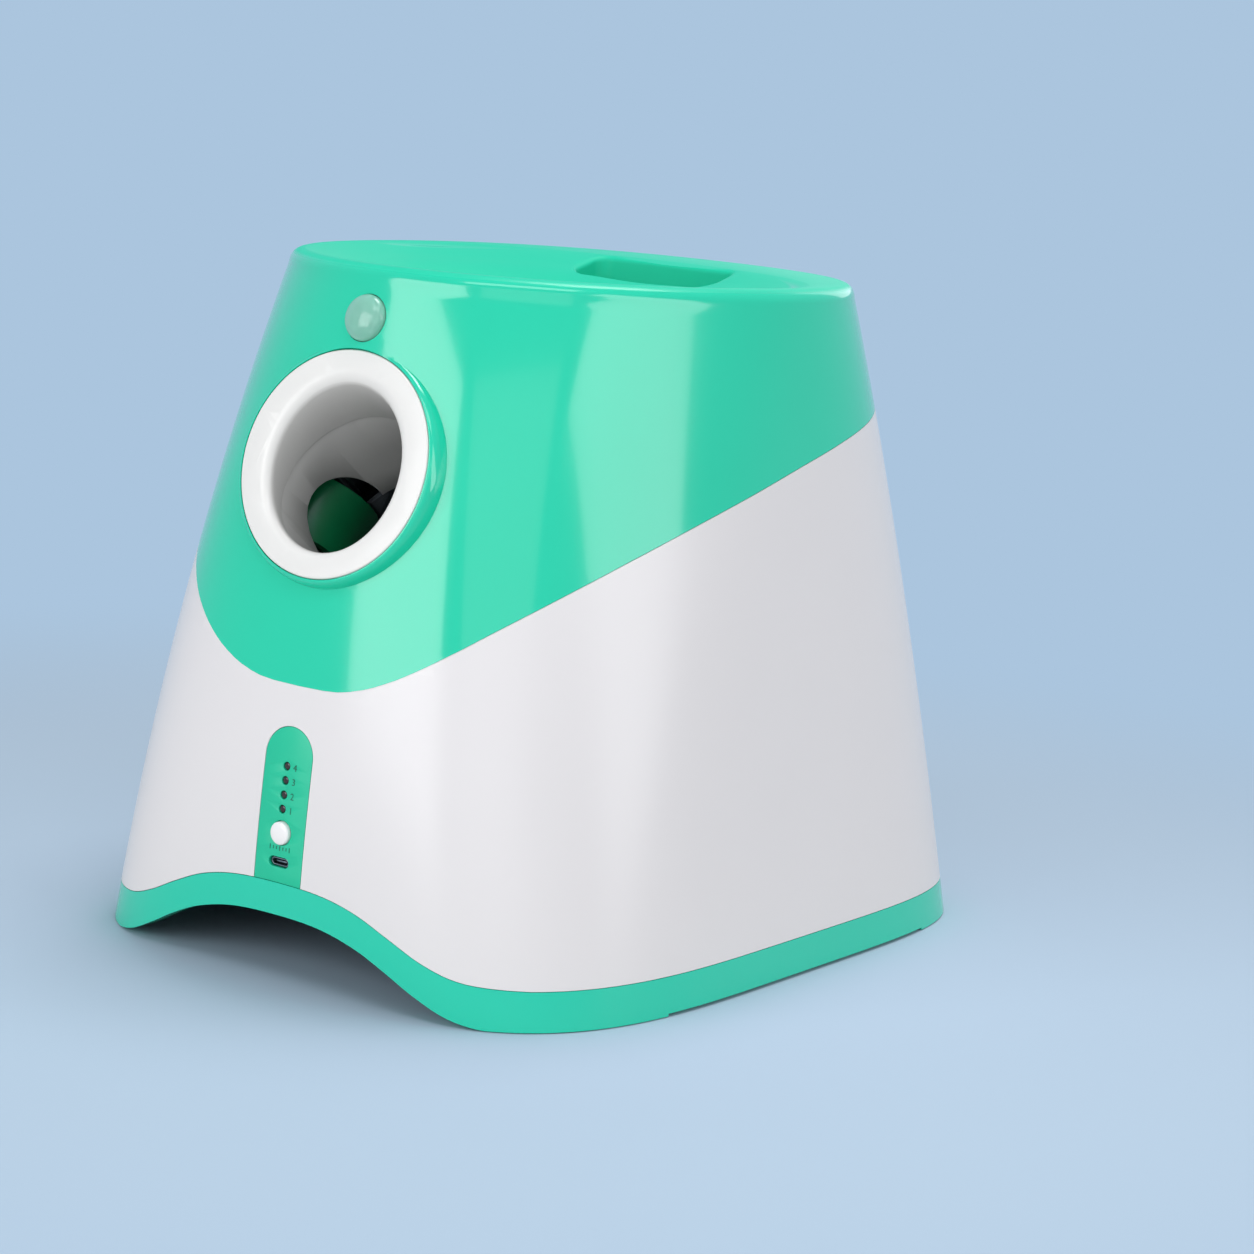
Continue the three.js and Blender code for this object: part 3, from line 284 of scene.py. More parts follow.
def makeMaterial(name, look):
    # colour drifts between two tones, gloss drifts with it, and a fine bump gives the surface its skin
    look = {**plainLook, **look}
    material = bpy.data.materials.new(name)
    material.use_nodes = True
    tree = material.node_tree
    tree.nodes.clear()
    where = addNode(tree, "ShaderNodeTexCoord")
    spot = addNode(tree, "ShaderNodeMapping", values={"Scale": look["stretch"]},
                   links={"Vector": where.outputs["Object"]})
    drift = addNode(tree, "ShaderNodeTexNoise",
                    values={"Scale": 1 / (look["driftSize"] * mm), "Detail": skin["toneDetail"],
                            "Roughness": skin["toneRough"]},
                    links={"Vector": where.outputs["Object"]})
    tone = addNode(tree, "ShaderNodeMix", settings={"data_type": "RGBA"},
                   values={6: toLinear(look["colour"]), 7: toLinear(look["second"])},
                   links={"Factor": drift.outputs["Fac"]})
    colour = tone.outputs[2]
    # painted shade: the colour is mixed toward a near-black tone deeper in the bore
    if look["paintedBoreShade"]:
        darker = addNode(tree, "ShaderNodeMix", settings={"data_type": "RGBA"},
                         values={7: toLinear(look["paintedBoreShade"])},
                         links={"Factor": rubbedShare(tree, where).outputs[0], 6: colour})
        colour = darker.outputs[2]
    gloss = addNode(tree, "ShaderNodeMapRange",
                    values={"To Min": look["rough"] - skin["glossDrift"],
                            "To Max": look["rough"] + skin["glossDrift"]},
                    links={"Value": drift.outputs["Fac"]})
    grain = addNode(tree, "ShaderNodeTexNoise",
                    values={"Scale": 1 / (look["grain"] * mm), "Detail": skin["grainDetail"],
                            "Roughness": skin["grainRough"]},
                    links={"Vector": spot.outputs["Vector"]})
    relief = addNode(tree, "ShaderNodeBump",
                     values={"Strength": look["bump"], "Distance": look["depth"] * mm},
                     links={"Height": grain.outputs["Fac"]})
    shader = addNode(tree, "ShaderNodeBsdfPrincipled",
                     values={"Metallic": look["metal"], "IOR": skin["ior"], "Coat Weight": look["coat"],
                             "Coat Roughness": skin["coatRough"], "Subsurface Weight": look["milk"]},
                     links={"Base Color": colour, "Roughness": gloss.outputs["Result"],
                            "Normal": relief.outputs["Normal"]})
    if look["satin"]:
        share = satinShare(tree, where).outputs[0]
        matt = {"Roughness": look["satin"], "Coat Weight": 0, "Specular IOR Level": satin["shine"]}
        for socket, value in matt.items():
            blend = addNode(tree, "ShaderNodeMix",
                            values={"A": shader.inputs[socket].default_value, "B": value},
                            links={"Factor": share})
            if socket == "Roughness":
                tree.links.new(gloss.outputs["Result"], blend.inputs["A"])
            tree.links.new(blend.outputs["Result"], shader.inputs[socket])
    if look["milk"]:
        shader.inputs["Subsurface Radius"].default_value = (1, 1, 1)
        shader.inputs["Subsurface Scale"].default_value = skin["milkReach"] * mm
    addNode(tree, "ShaderNodeOutputMaterial", links={"Surface": shader.outputs["BSDF"]})
    return material


# each entry is the real stuff, how its surface was made, and what that gives the eye
looks = {
    # polished-tool ABS, gloss moulded: clear lamp reflections with a faint orange peel
    "glossAbsGreen": {"colour": "#1bcaa4", "second": "#20cda8", "rough": 0.13, "grain": 4, "bump": 0.05,
                      "depth": 0.02, "coat": 0.35, "satin": 0.5},
    # the same ABS in white
    "glossAbsWhite": {"colour": "#dedcde", "second": "#e0dee0", "rough": 0.25, "grain": 4, "bump": 0.05,
                      "depth": 0.02},
    # the base band, the same green from another tool
    "glossAbsBand": {"colour": "#1dc8a9", "second": "#21cbac", "rough": 0.18, "grain": 4, "bump": 0.06,
                     "depth": 0.02, "coat": 0.2},
    # bright white ABS of the nozzle, satin from use, with painted shade darkening its bore with depth
    "satinAbsNozzle": {"colour": "#e6e6e4", "second": "#e4e4e2", "rough": 0.3, "grain": 2, "bump": 0.08,
                       "depth": 0.02, "paintedBoreShade": "#1a1d19"},
    # glass-filled nylon of the barrel: pale and matt, with a fine flow grain, and painted shade darkening it
    # with depth
    "nylonBarrel": {"colour": "#e6e6e4", "second": "#e4e4e2", "rough": 0.62, "grain": 1.2, "bump": 0.2,
                    "depth": 0.03, "driftSize": 25, "paintedBoreShade": "#1a1d19"},
    # spark-eroded black polypropylene of the floor plate: dull, with an even pebble grain
    "pebbledBlackPlate": {"colour": "#1d1f21", "second": "#242628", "rough": 0.6, "grain": 0.9,
                          "bump": 0.5, "depth": 0.06},
    # grey nylon of the chute: matt with slight flow marks
    "nylonChute": {"colour": "#3b4146", "second": "#454b50", "rough": 0.55, "grain": 1, "bump": 0.25,
                   "depth": 0.04, "driftSize": 30},
    # cast polyurethane tread of the wheels: rubbery green, finely ground
    "castTyreGreen": {"colour": "#0c7a4b", "second": "#0a7044", "rough": 0.3, "grain": 0.6, "bump": 0.35,
                      "depth": 0.05, "driftSize": 20},
    # white acetal hub: waxy, slightly see-through
    "acetalHub": {"colour": "#dfe0de", "second": "#d6d7d5", "rough": 0.38, "grain": 1, "bump": 0.1,
                  "depth": 0.02, "milk": 0.1},
    # ground steel shaft and spring-steel lever: bright with lines round it
    "groundSteel": {"colour": "#b9bcc0", "second": "#a9acb0", "rough": 0.24, "grain": 0.5, "bump": 0.15,
                    "depth": 0.01, "metal": 1, "stretch": (1, 1, 9)},
    # drawn zinc-plated motor can: brushed along its length
    "zincCan": {"colour": "#a7abaf", "second": "#969a9f", "rough": 0.32, "grain": 0.7, "bump": 0.2,
                "depth": 0.012, "metal": 1, "stretch": (6, 6, 1)},
    # cold-rolled zinc-plated sheet: rolled grain across, soft mottled sheen
    "zincSheet": {"colour": "#b2b6ba", "second": "#9ea2a7", "rough": 0.36, "grain": 0.8, "bump": 0.2,
                  "depth": 0.012, "metal": 1, "stretch": (1, 7, 7), "driftSize": 14},
    # nickel-plated screws: bright, slightly pitted
    "nickelScrew": {"colour": "#a6a39c", "second": "#97948d", "rough": 0.28, "grain": 0.4, "bump": 0.2,
                    "depth": 0.01, "metal": 1},
    # amber acetal gate arm
    "acetalGate": {"colour": "#e79a2c", "second": "#df9024", "rough": 0.4, "grain": 1, "bump": 0.12,
                   "depth": 0.02, "milk": 0.1},
    # tinted polycarbonate servo case: deep blue, half clear
    "tintedServoCase": {"colour": "#23478a", "second": "#1d3d7a", "rough": 0.22, "grain": 2, "bump": 0.06,
                        "depth": 0.02, "coat": 0.3},
    # black phenolic switch body: dull, fine moulded grain
    "phenolicSwitch": {"colour": "#151617", "second": "#1c1d1e", "rough": 0.5, "grain": 0.7, "bump": 0.25,
                       "depth": 0.03},
    # milky polyethylene lens of the motion sensor: lets light in and scatters it
    "milkyLens": {"colour": "#8cc4b2", "second": "#7ab8a5", "rough": 0.2, "grain": 2.4, "bump": 0.5,
                  "depth": 0.12, "milk": 0.8, "coat": 0.3, "driftSize": 7},
    # black ABS holder, fine matt
    "mattBlackAbs": {"colour": "#151617", "second": "#1b1c1d", "rough": 0.5, "grain": 0.8, "bump": 0.2,
                     "depth": 0.03},
    # glass-epoxy board under green solder mask
    "solderMaskBoard": {"colour": "#125b38", "second": "#1a6a42", "rough": 0.3, "grain": 1.6, "bump": 0.3,
                        "depth": 0.05, "driftSize": 6},
    # control strip: satin ABS, a little deeper than the cover
    "satinStripGreen": {"colour": "#0ebd93", "second": "#11c097", "rough": 0.42, "grain": 1.4,
                        "bump": 0.08, "depth": 0.015},
    # button: white ABS, gloss
    "glossButton": {"colour": "#f1f1f2", "second": "#ecebed", "rough": 0.2, "grain": 3, "bump": 0.05,
                    "depth": 0.02, "coat": 0.2},
    # indicator windows: smoked acrylic, nearly black until lit
    "smokedAcrylic": {"colour": "#241611", "second": "#33201a", "rough": 0.14, "grain": 2, "bump": 0.05,
                      "depth": 0.01, "driftSize": 2, "coat": 0.4},
    # tin-plated socket shell
    "tinnedSocket": {"colour": "#8f9397", "second": "#7d8185", "rough": 0.3, "grain": 0.5, "bump": 0.15,
                     "depth": 0.01, "metal": 1},
    # shrink-wrapped PVC over the cells: blue, shiny, slightly wrinkled
    "shrinkWrapBlue": {"colour": "#1f5f9f", "second": "#1a5590", "rough": 0.26, "grain": 9, "bump": 0.5,
                       "depth": 0.4, "driftSize": 18},
    # black speaker: paper cone and pressed frame
    "paperConeBlack": {"colour": "#141414", "second": "#1d1d1d", "rough": 0.7, "grain": 0.5, "bump": 0.5,
                       "depth": 0.05},
    # rubber pads: black, chalky
    "mouldedRubber": {"colour": "#1a1b1c", "second": "#222324", "rough": 0.78, "grain": 0.7, "bump": 0.4,
                      "depth": 0.05},
    # pad-printed ink of the numerals and ticks
    "printedInk": {"colour": "#0a5a43", "second": "#0c5f48", "rough": 0.5, "grain": 0.4, "bump": 0.1,
                   "depth": 0.005},
}
materials = {name: makeMaterial(name, look) for name, look in looks.items()}
print("materials made:", len(materials))


def finished(piece, name, material, slotName, body, *replaced):
    piece.name = name
    piece.data.materials.clear()
    piece.data.materials.append(materials[material])
    for face in piece.data.polygons:
        face.material_index = 0
    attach(piece, body)
    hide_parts(*replaced)
    return piece


housing = {
    # a triple is the value on the floor, the value at the top, and the bulge between them
    "height": 310, "halfWidth": (148.3, 121.8, -1.7), "middle": -3.8,
    "front": (-192.1, -149, -11.4), "back": (192.1, 123.8, 5.7),
    "frontPower": (3.73, 1.95, 0), "backPower": (5.05, 2.2, 0),
    "points": 192, "shoulder": 6.4, "wall": 3, "gap": 0.3, "innerTop": 307, "innerShoulder": 3,
    "split": [(-205, 95), (-192, 118), (-187, 127), (-185, 130.8), (-183.6, 134.4), (-181, 140),
              (-176.5, 147.5), (-170, 155.8), (-160, 165.6), (-146, 175.9), (-128, 186.4), (-104, 197.8),
              (-71.8, 210.1), (-34, 221.8), (10, 233.6), (60, 245.2), (120, 255.5), (215, 266)],
    "splitSteps": 136, "splitEnd": 215, "above": 400, "below": -20,
    "posts": [(107, -92), (-107, -92), (80, 95), (-80, 95)], "postRadius": 5, "postBore": 1.9,
    "postSplit": 150, "postTopFront": 225, "postTopRear": 308.4,
}
nozzle = {
    "point": (0, -171.3, 225.8), "tilt": 36, "flangeTilt": 15.4, "depth": 65.6,
    "bore": 34.5, "lip": 4.6, "tubeWall": 2.6, "spigot": 16.5, "clear": 30, "points": 112, "before": 3,
    "boreDepth": 70, "reamed": [(-55, -10, 0.35), (-10.5, 6, 0.33)],
    "face": [(49.6, -2.2), (50, -1.9), (50, -0.9), (49.9, -0.5), (49.6, -0.16), (49.1, 0)],
    "keep": [(70, -60), (70, -1)],
}


def between(span, z):
    base, top, bulge = span
    u = z / housing["height"]
    return base + (top - base) * u + 4 * bulge * u * (1 - u)


def power(value, p):
    return math.copysign(abs(value) ** p, value)


def frontLine(z):
    return between(housing["front"], z)


barrelTilt = math.radians(nozzle["tilt"])
flangeTilt = math.radians(nozzle["flangeTilt"])
nozzlePoint = Vector(nozzle["point"])
wheelPoint = nozzlePoint + Vector((0, math.cos(barrelTilt), -math.sin(barrelTilt))) * nozzle["depth"]
unitPlace = Matrix.Translation(wheelPoint) @ Matrix.Rotation(-barrelTilt, 4, "X")
flangePlace = Matrix.Translation(nozzlePoint) @ Matrix.Rotation(math.pi / 2 - flangeTilt, 4, "X")


def housingRing(z, inset, height=None):
    ring = []
    for i in range(housing["points"]):
        t = 2 * math.pi * i / housing["points"]
        s = math.sin(t)
        p = 2 / between(housing["frontPower" if s < 0 else "backPower"], z)
        middle = housing["middle"]
        reach = (middle - frontLine(z) if s < 0 else between(housing["back"], z) - middle) - inset
        wide = (between(housing["halfWidth"], z) - inset) * power(math.cos(t), p)
        ring.append((wide, middle + reach * power(s, p), z if height is None else height))
    return ring


def housingForm(name, inset, low, top, shoulder, steps, levelStep=11):
    # the housing's body, drawn in by the inset, with a rounded shoulder at its top
    start = top - shoulder
    count = max(2, round((start - low) / levelStep))
    rings = [housingRing(low + (start - low) * k / count, inset) for k in range(count)]
    for k in range(steps + 1):
        a = k / steps * math.pi / 2
        drawnIn, rise = shoulder * (1 - math.cos(a)), shoulder * math.sin(a)
        rings.append(housingRing(start, inset + drawnIn, start + rise))
    return ringStack(name, rings)


def innerForm(name, inset, low):
    return housingForm(name, inset, low, housing["innerTop"], housing["innerShoulder"], steps=2)


outer = housingForm("outerForm", 0, 0, housing["height"], housing["shoulder"], steps=8, levelStep=5)
inner = innerForm("innerForm", housing["wall"], low=-2)
midWall = housingForm("midWallForm", housing["wall"] / 2, low=-3, top=308.5, shoulder=5, steps=3)
splitCurve = smoothLine(housing["split"], housing["splitSteps"])
print("housing forms made")


def aboveSplit():
    end, top = housing["splitEnd"], housing["above"]
    return prism("aboveSplit", splitCurve + [(end, top), (-end, top)], "X", -beyond["x"], beyond["x"])


def belowSplit():
    end, foot = housing["splitEnd"], housing["below"]
    lowered = [(y, z - housing["gap"]) for y, z in splitCurve]
    return prism("belowSplit", lowered + [(end, foot), (-end, foot)], "X", -beyond["x"], beyond["x"])


sensor = {
    "z": 287.6, "span": 5, "collar": [(16.4, -11), (16.4, -2)], "room": [(14.6, -17), (14.6, -4.2)],
    "hole": [(10.6, -6), (10.6, 8)], "radius": 10.3, "rise": 5.6,
    "foot": [(13.2, -5.4), (13.2, -4.5), (10.3, -4.5)],
    "hollow": [(9.06, -6), (9.06, -1)], "hollowAcross": 0.88, "hollowTall": 0.8, "hollowDrop": 0.2,
}
sensorZ, sensorSpan = sensor["z"], sensor["span"]
sensorLean = math.atan2(frontLine(sensorZ + sensorSpan) - frontLine(sensorZ - sensorSpan), 2 * sensorSpan)
sensorPlace = (Matrix.Translation((0, frontLine(sensorZ), sensorZ))
               @ Matrix.Rotation(math.pi / 2 - sensorLean, 4, "X"))

cover = {
    # the bowl's profile goes from the rim, 0, to the throat, 1; the turned ones are (radius, height)
    "bowlHalfWidth": 113, "bowlFront": 136.5, "bowlRear": 78, "bowlPower": 2.05, "bowlPoints": 112,
    "bowlProfile": [(-0.1, 311.2), (-0.06, 310.6), (0, 309.4), (0.06, 307.8), (0.15, 305.1), (0.3, 300.2),
                    (0.5, 290), (0.7, 277.5), (0.87, 266.5), (1, 261)],
    "bowlSteps": 90, "skinRim": (-0.05, 308.4, 2), "skinFrom": 0.19, "skinDrop": 3.2, "skinGrow": 1.4,
    "throatY": -62.5, "throatRadius": 37, "throatCut": 240, "throatBottom": 250, "throatWall": 2.8,
    "pocketHalfWidth": 39.5, "pocketFront": 45, "pocketBack": 70, "pocketCorner": 7,
    "pocketFoot": [(-3.5, 268), (-2.9, 268.3), (-2.3, 269), (-2, 270)],
    "pocketMouth": [(0, -4), (0.1, -2.2), (0.4, -1.2), (1, -0.5), (1.9, -0.1), (3, 0.5), (3.6, 1.4)],
    "pocketSkin": [(-1.2, 265.2), (2.8, 307.8)],
    "seat": [(50.7, -14), (50.7, -2.5)], "seatHollow": [(47.7, -15), (47.7, -5.5)],
    "lip": [(53.6, -18), (53.5, -9), (53.2, -5.4), (52.8, -3.2), (52.2, -1.7), (51.5, -0.8), (50.8, -0.4)],
    "lipInner": 47.7, "lipHollow": [(47.8, -19), (47.8, 1)], "flangeRoom": [(50.4, -2.5), (50.4, 14)],
    "tubeRoom": 37.7, "tubeRoomEnd": -20, "screwReach": (-2, 26),
}


def bowlRing(s, z, grow):
    ring = []
    for i in range(cover["bowlPoints"]):
        t = 2 * math.pi * i / cover["bowlPoints"]
        ahead = math.sin(t) < 0
        p = 2 / cover["bowlPower"] if ahead else 1
        deep = cover["bowlFront"] if ahead else cover["bowlRear"]
        wide = Vector((cover["bowlHalfWidth"] * power(math.cos(t), p),
                       housing["middle"] + deep * power(math.sin(t), p), z))
        narrow = Vector((cover["throatRadius"] * math.cos(t),
                         cover["throatY"] + cover["throatRadius"] * math.sin(t), z))
        ring.append(wide.lerp(narrow, s) + Vector((math.cos(t), math.sin(t), 0)) * grow)
    return ring


bowlLine = smoothLine(cover["bowlProfile"], cover["bowlSteps"])


def bowlHeight(x, y):
    # the bowl's rear slope at a place on it: the ring through that place, found by halving
    low, high = cover["bowlProfile"][0][0], 1
    for _ in range(30):
        s = (low + high) / 2
        wide = cover["bowlHalfWidth"] * (1 - s) + cover["throatRadius"] * s
        deep = cover["bowlRear"] * (1 - s) + cover["throatRadius"] * s
        middle = housing["middle"] * (1 - s) + cover["throatY"] * s
        inside = (x / wide) ** 2 + ((y - middle) / deep) ** 2 < 1
        low, high = (s, high) if inside else (low, s)
    nearest = min(range(len(bowlLine) - 1), key=lambda i: abs(bowlLine[i][0] - s))
    return bowlLine[nearest][1]


def pocketRing(grow, z, lift=None, steps=8):
    # level at z, or, with a lift, that far above the bowl's slope
    ring = []
    half, r = cover["pocketHalfWidth"] + grow, cover["pocketCorner"] + grow
    y0, y1 = cover["pocketFront"] - grow, cover["pocketBack"] + grow
    corners = [(half - r, y0 + r, -90), (half - r, y1 - r, 0),
               (r - half, y1 - r, 90), (r - half, y0 + r, 180)]
    for cx, cy, start in corners:
        for k in range(steps + 1):
            a = math.radians(start + 90 * k / steps)
            x, y = cx + r * math.cos(a), cy + r * math.sin(a)
            ring.append((x, y, z if lift is None else bowlHeight(x, y) + lift))
    return ring


bowlLevels = bowlLine[::2]
hollowRings = [bowlRing(s, z, 0) for s, z in bowlLevels] + [bowlRing(1, cover["throatCut"], 0)]
bowlHollow = ringStack("bowlHollow", hollowRings[::-1])
skinRings = [bowlRing(s, z - cover["skinDrop"], cover["skinGrow"])
             for s, z in bowlLevels if s > cover["skinFrom"]]
skinFoot = bowlRing(1, cover["throatBottom"], cover["throatWall"])
bowlSkin = ringStack("bowlSkin", ([bowlRing(*cover["skinRim"])] + skinRings + [skinFoot])[::-1])
pocketRings = [pocketRing(grow, z) for grow, z in cover["pocketFoot"]]
pocketRings += [pocketRing(grow, 0, lift) for grow, lift in smoothLine(cover["pocketMouth"], 18)]
pocketHollow = ringStack("pocketHollow", pocketRings)
pocketSkin = ringStack("pocketSkin", [pocketRing(grow, z) for grow, z in cover["pocketSkin"]])


def postHoles(low, high):
    return [rod((x, y, low), (x, y, high), housing["postBore"], 20) for x, y in housing["posts"]]


topCover = outsideOf(copyOf(outer, "topCover"), inner)
both(topCover, aboveSplit())
join(topCover, insideOf(join(bowlSkin, pocketSkin), outer))
seat = disc("seat", cover["seat"], 96, flangePlace)
cut(seat, disc("seatHollow", cover["seatHollow"], 64, flangePlace))
join(topCover, both(seat, aboveSplit()))
lipLine, lipInner = smoothLine(cover["lip"], 18), cover["lipInner"]
lip = disc("lip", [(lipInner, lipLine[0][1])] + lipLine + [(lipInner, lipLine[-1][1])], 128, flangePlace)
cut(lip, disc("lipHollow", cover["lipHollow"], 96, flangePlace))
join(topCover, both(outsideOf(lip, midWall), aboveSplit()))
for x, y in housing["posts"]:
    postTop = housing["postTopFront" if y < 0 else "postTopRear"]
    post = rod((x, y, housing["postSplit"] + housing["gap"]), (x, y, postTop), housing["postRadius"], 28)
    join(topCover, insideOf(post, midWall))
join(topCover, insideOf(disc("collar", sensor["collar"], 48, sensorPlace), outer))
tubeStart = -nozzle["depth"] - nozzle["clear"]
cut(topCover, bowlHollow, pocketHollow,
    disc("flangeRoom", cover["flangeRoom"], 128, flangePlace),
    rod((0, tubeStart, 0), (0, cover["tubeRoomEnd"], 0), cover["tubeRoom"], 96, unitPlace),
    disc("holderRoom", sensor["room"], 48, sensorPlace),
    disc("lensHole", sensor["hole"], 64, sensorPlace),
    *postHoles(*[housing["postSplit"] + reach for reach in cover["screwReach"]]))
finished(smoothed(topCover), "TopCover", "glossAbsGreen", "cover_green", "case", "top_cover")
print("top cover made:", len(topCover.data.polygons), "faces")

strip = {
    "halfWidth": 13, "top": 112.9, "bottom": 20, "thickness": 2.6, "outside": -210, "inside": -150,
    "buttonZ": 66.8, "buttonRadius": 5.1, "buttonGap": 0.35, "portZ": 54, "portHalf": 5.6, "portRadius": 2.3,
    "windows": [95.8, 89.6, 83.3, 77.1], "windowX": -0.7, "windowRadius": 1.95, "bevel": 0.25,
    "tongueTop": 50,
    "buttonFoot": [(2.2, -8.2), (2.2, -4.4), (6.6, -4.4), (6.6, -3.5), (5.1, -3.5)],
    "buttonCrown": [(5.1, 0.7), (5.02, 1.15), (4.7, 1.5), (3.8, 1.85), (2.2, 2.1), (0, 2.2)],
    "lens": [(1.6, -3.2), (1.6, -0.55), (1.45, -0.35), (0.9, -0.22), (0, -0.18)],
}
band = {
    "height": 17.5, "thickness": 8, "tongueInset": housing["wall"] + 0.4, "tongueFrom": 10, "relief": 1.6,
    "arch": [(0, 31), (24, 29.9), (44, 25.4), (60, 18.6), (75, 10.7), (90, 3.8), (104, 0.6), (118, 0)],
    "edge": [(0, 44.9), (24, 43.9), (43, 40), (60, 33), (78, 24.5), (95, 19.2), (118, 17.5)],
    "archHalf": 118, "front": -100, "under": -9, "edgeUnder": -5, "rest": 0.5,
    "sideRelief": (-98, 118), "rearRelief": (-100, 100, 120), "screwHole": 2.3, "screwLevels": (30, 45),
    "earFrom": 36.3, "earTo": 39.3, "earRadius": 7, "earHalf": 5, "earReach": 139,
}
shell = {
    "low": strip["tongueTop"] + 0.6, "backingHalf": 17, "backingFrom": -200, "backingInset": 6,
    "ribX": (12.3, 14.3), "ribY": (-192, -177.5), "ribTop": 108, "finHalf": 1.5, "finReach": 148,
    "bossFrom": 39.6, "windowHalf": 9.5, "windowFrom": 51.5, "holesFrom": 30, "holesPast": 2,
}


def mirroredLine(points, steps):
    return smoothLine([(-a, b) for a, b in points[:0:-1]] + points, steps)


def underEdge(lift, reach):
    # all that lies under the line between the shell and the band
    edge = [(x, z + lift) for x, z in mirroredLine(band["edge"], 64)]
    half, under = band["archHalf"], band["edgeUnder"]
    return join(slab(under, band["height"] + lift),
                prism("edge", edge + [(half, under), (-half, under)], "Y", -beyond["y"], reach))


def stadium(half, bottom, steps=32):
    # upright sides and a round top
    centre = strip["top"] - strip["halfWidth"]
    arc = [(half * math.cos(math.pi * k / steps), centre + half * math.sin(math.pi * k / steps))
           for k in range(steps + 1)]
    return [(-half, bottom), (half, bottom)] + arc


def throughFront(name, outline):
    return prism(name, outline, "Y", strip["outside"], strip["inside"])


def drill(x, z, radius, sides):
    return rod((x, strip["outside"], z), (x, strip["inside"], z), radius, sides)


def shifted(piece, y):
    twin = copyOf(piece, "shifted")
    twin.data.transform(Matrix.Translation((0, y * mm, 0)))
    return twin


bodyShell = outsideOf(copyOf(outer, "bodyShell"), inner)
both(bodyShell, belowSplit())
cut(bodyShell, underEdge(housing["gap"], band["front"]))
backing = prism("backing", stadium(shell["backingHalf"], shell["low"]), "Y", shell["backingFrom"],
                strip["inside"])
cut(insideOf(backing, midWall), innerForm("backingInside", shell["backingInset"], low=-3))
join(bodyShell, backing)
for side in (-1, 1):
    rib = sideBlock(side, *shell["ribX"], *shell["ribY"], shell["low"], shell["ribTop"])
    join(bodyShell, insideOf(rib, midWall))
for x, y in housing["posts"]:
    half = shell["finHalf"]
    fin = sideBlock(math.copysign(1, x), abs(x), shell["finReach"], y - half, y + half, shell["low"],
                    housing["postSplit"])
    join(bodyShell, insideOf(fin, midWall),
         rod((x, y, shell["bossFrom"]), (x, y, housing["postSplit"]), housing["postRadius"], 28))
recess = cut(throughFront("recess", stadium(strip["halfWidth"] + housing["gap"], strip["bottom"])),
             shifted(outer, strip["thickness"] + housing["gap"]))
cut(bodyShell, recess, throughFront("window", stadium(shell["windowHalf"], shell["windowFrom"])),
    *postHoles(shell["holesFrom"], housing["postSplit"] + shell["holesPast"]))
finished(smoothed(bodyShell), "BodyShell", "glossAbsWhite", "shell_white", "case", "body_shell")
print("body shell made:", len(bodyShell.data.polygons), "faces")


def slot(half, r, z, steps=10):
    # a level slot with round ends
    angles = [math.pi * (k / steps - 0.5) for k in range(steps + 1)]
    right = [(half - r + r * math.cos(a), z + r * math.sin(a)) for a in angles]
    return right + [(-x, 2 * z - y) for x, y in right]


def frontPlace(x, z):
    # a place on the front wall, its own Z axis pointing forward
    return Matrix.Translation((x, frontLine(z), z)) @ Matrix.Rotation(math.pi / 2, 4, "X")


controlStrip = throughFront("controlStrip", stadium(strip["halfWidth"], strip["bottom"], 48))
cut(insideOf(controlStrip, outer), shifted(outer, strip["thickness"]),
    underEdge(housing["gap"], band["front"]),
    drill(0, strip["buttonZ"], strip["buttonRadius"] + strip["buttonGap"], 56),
    throughFront("portHole", slot(strip["portHalf"], strip["portRadius"], strip["portZ"])),
    *[drill(strip["windowX"], z, strip["windowRadius"], 28) for z in strip["windows"]])
softEdges(controlStrip, strip["bevel"])
finished(smoothed(controlStrip), "ControlStrip", "satinStripGreen", "strip_green", "case", "control_strip")

buttonProfile = strip["buttonFoot"] + smoothLine(strip["buttonCrown"], 14)
modeButton = disc("modeButton", buttonProfile, 64, frontPlace(0, strip["buttonZ"]))
finished(smoothed(modeButton, 40), "ModeButton", "glossButton", "button_white", "mode_button", "mode_button")

for k, z in enumerate(strip["windows"]):
    window = disc("window", strip["lens"], 32, frontPlace(strip["windowX"], z))
    finished(smoothed(window, 40), "IndicatorWindow%d" % (k + 1), "smokedAcrylic", "led_dark", "case",
             "led_window_%d" % (k + 1))

printing = {"size": 4.2, "x": 3.0, "drop": 0.2, "lift": 0.02, "thickness": 0.06, "bevel": 0.02,
            "ticks": [-5.4, -3.6, -1.8, 0, 1.8, 3.6, 5.4], "tickZ": 60.1, "tickHalf": 0.22,
            "tall": 1.1, "low": 0.7}


def draped(piece):
    # flat artwork in X and Z laid onto the strip's face
    for v in piece.data.vertices:
        v.co.y = (frontLine(v.co.z / mm) - printing["lift"]) * mm + v.co.y
    return piece


for k, z in enumerate(strip["windows"]):
    bpy.ops.object.select_all(action="DESELECT")
    bpy.ops.object.text_add()
    numeral = bpy.context.object
    number = len(strip["windows"]) - k
    numeral.data.body = str(number)
    numeral.data.size = printing["size"] * mm
    numeral.data.align_y = "CENTER"
    numeral.data.extrude = printing["thickness"] * mm
    bpy.ops.object.convert(target="MESH")
    numeral = bpy.context.object
    place = Matrix.Translation((printing["x"] * mm, 0, (z - printing["drop"]) * mm))
    numeral.data.transform(place @ Matrix.Rotation(math.pi / 2, 4, "X"))
    finished(draped(numeral), "Numeral%d" % number, "printedInk", "strip_green", "case")
for k, x in enumerate(printing["ticks"]):
    tall = printing["tall" if k % 3 == 0 else "low"]
    half, thick, middle = printing["tickHalf"], printing["thickness"], printing["tickZ"]
    tick = block(x - half, x + half, -thick, thick, middle - tall, middle + tall)
    softEdges(tick, printing["bevel"], 1)
    finished(draped(tick), "Tick%d" % (k + 1), "printedInk", "strip_green", "case")
print("control strip made")

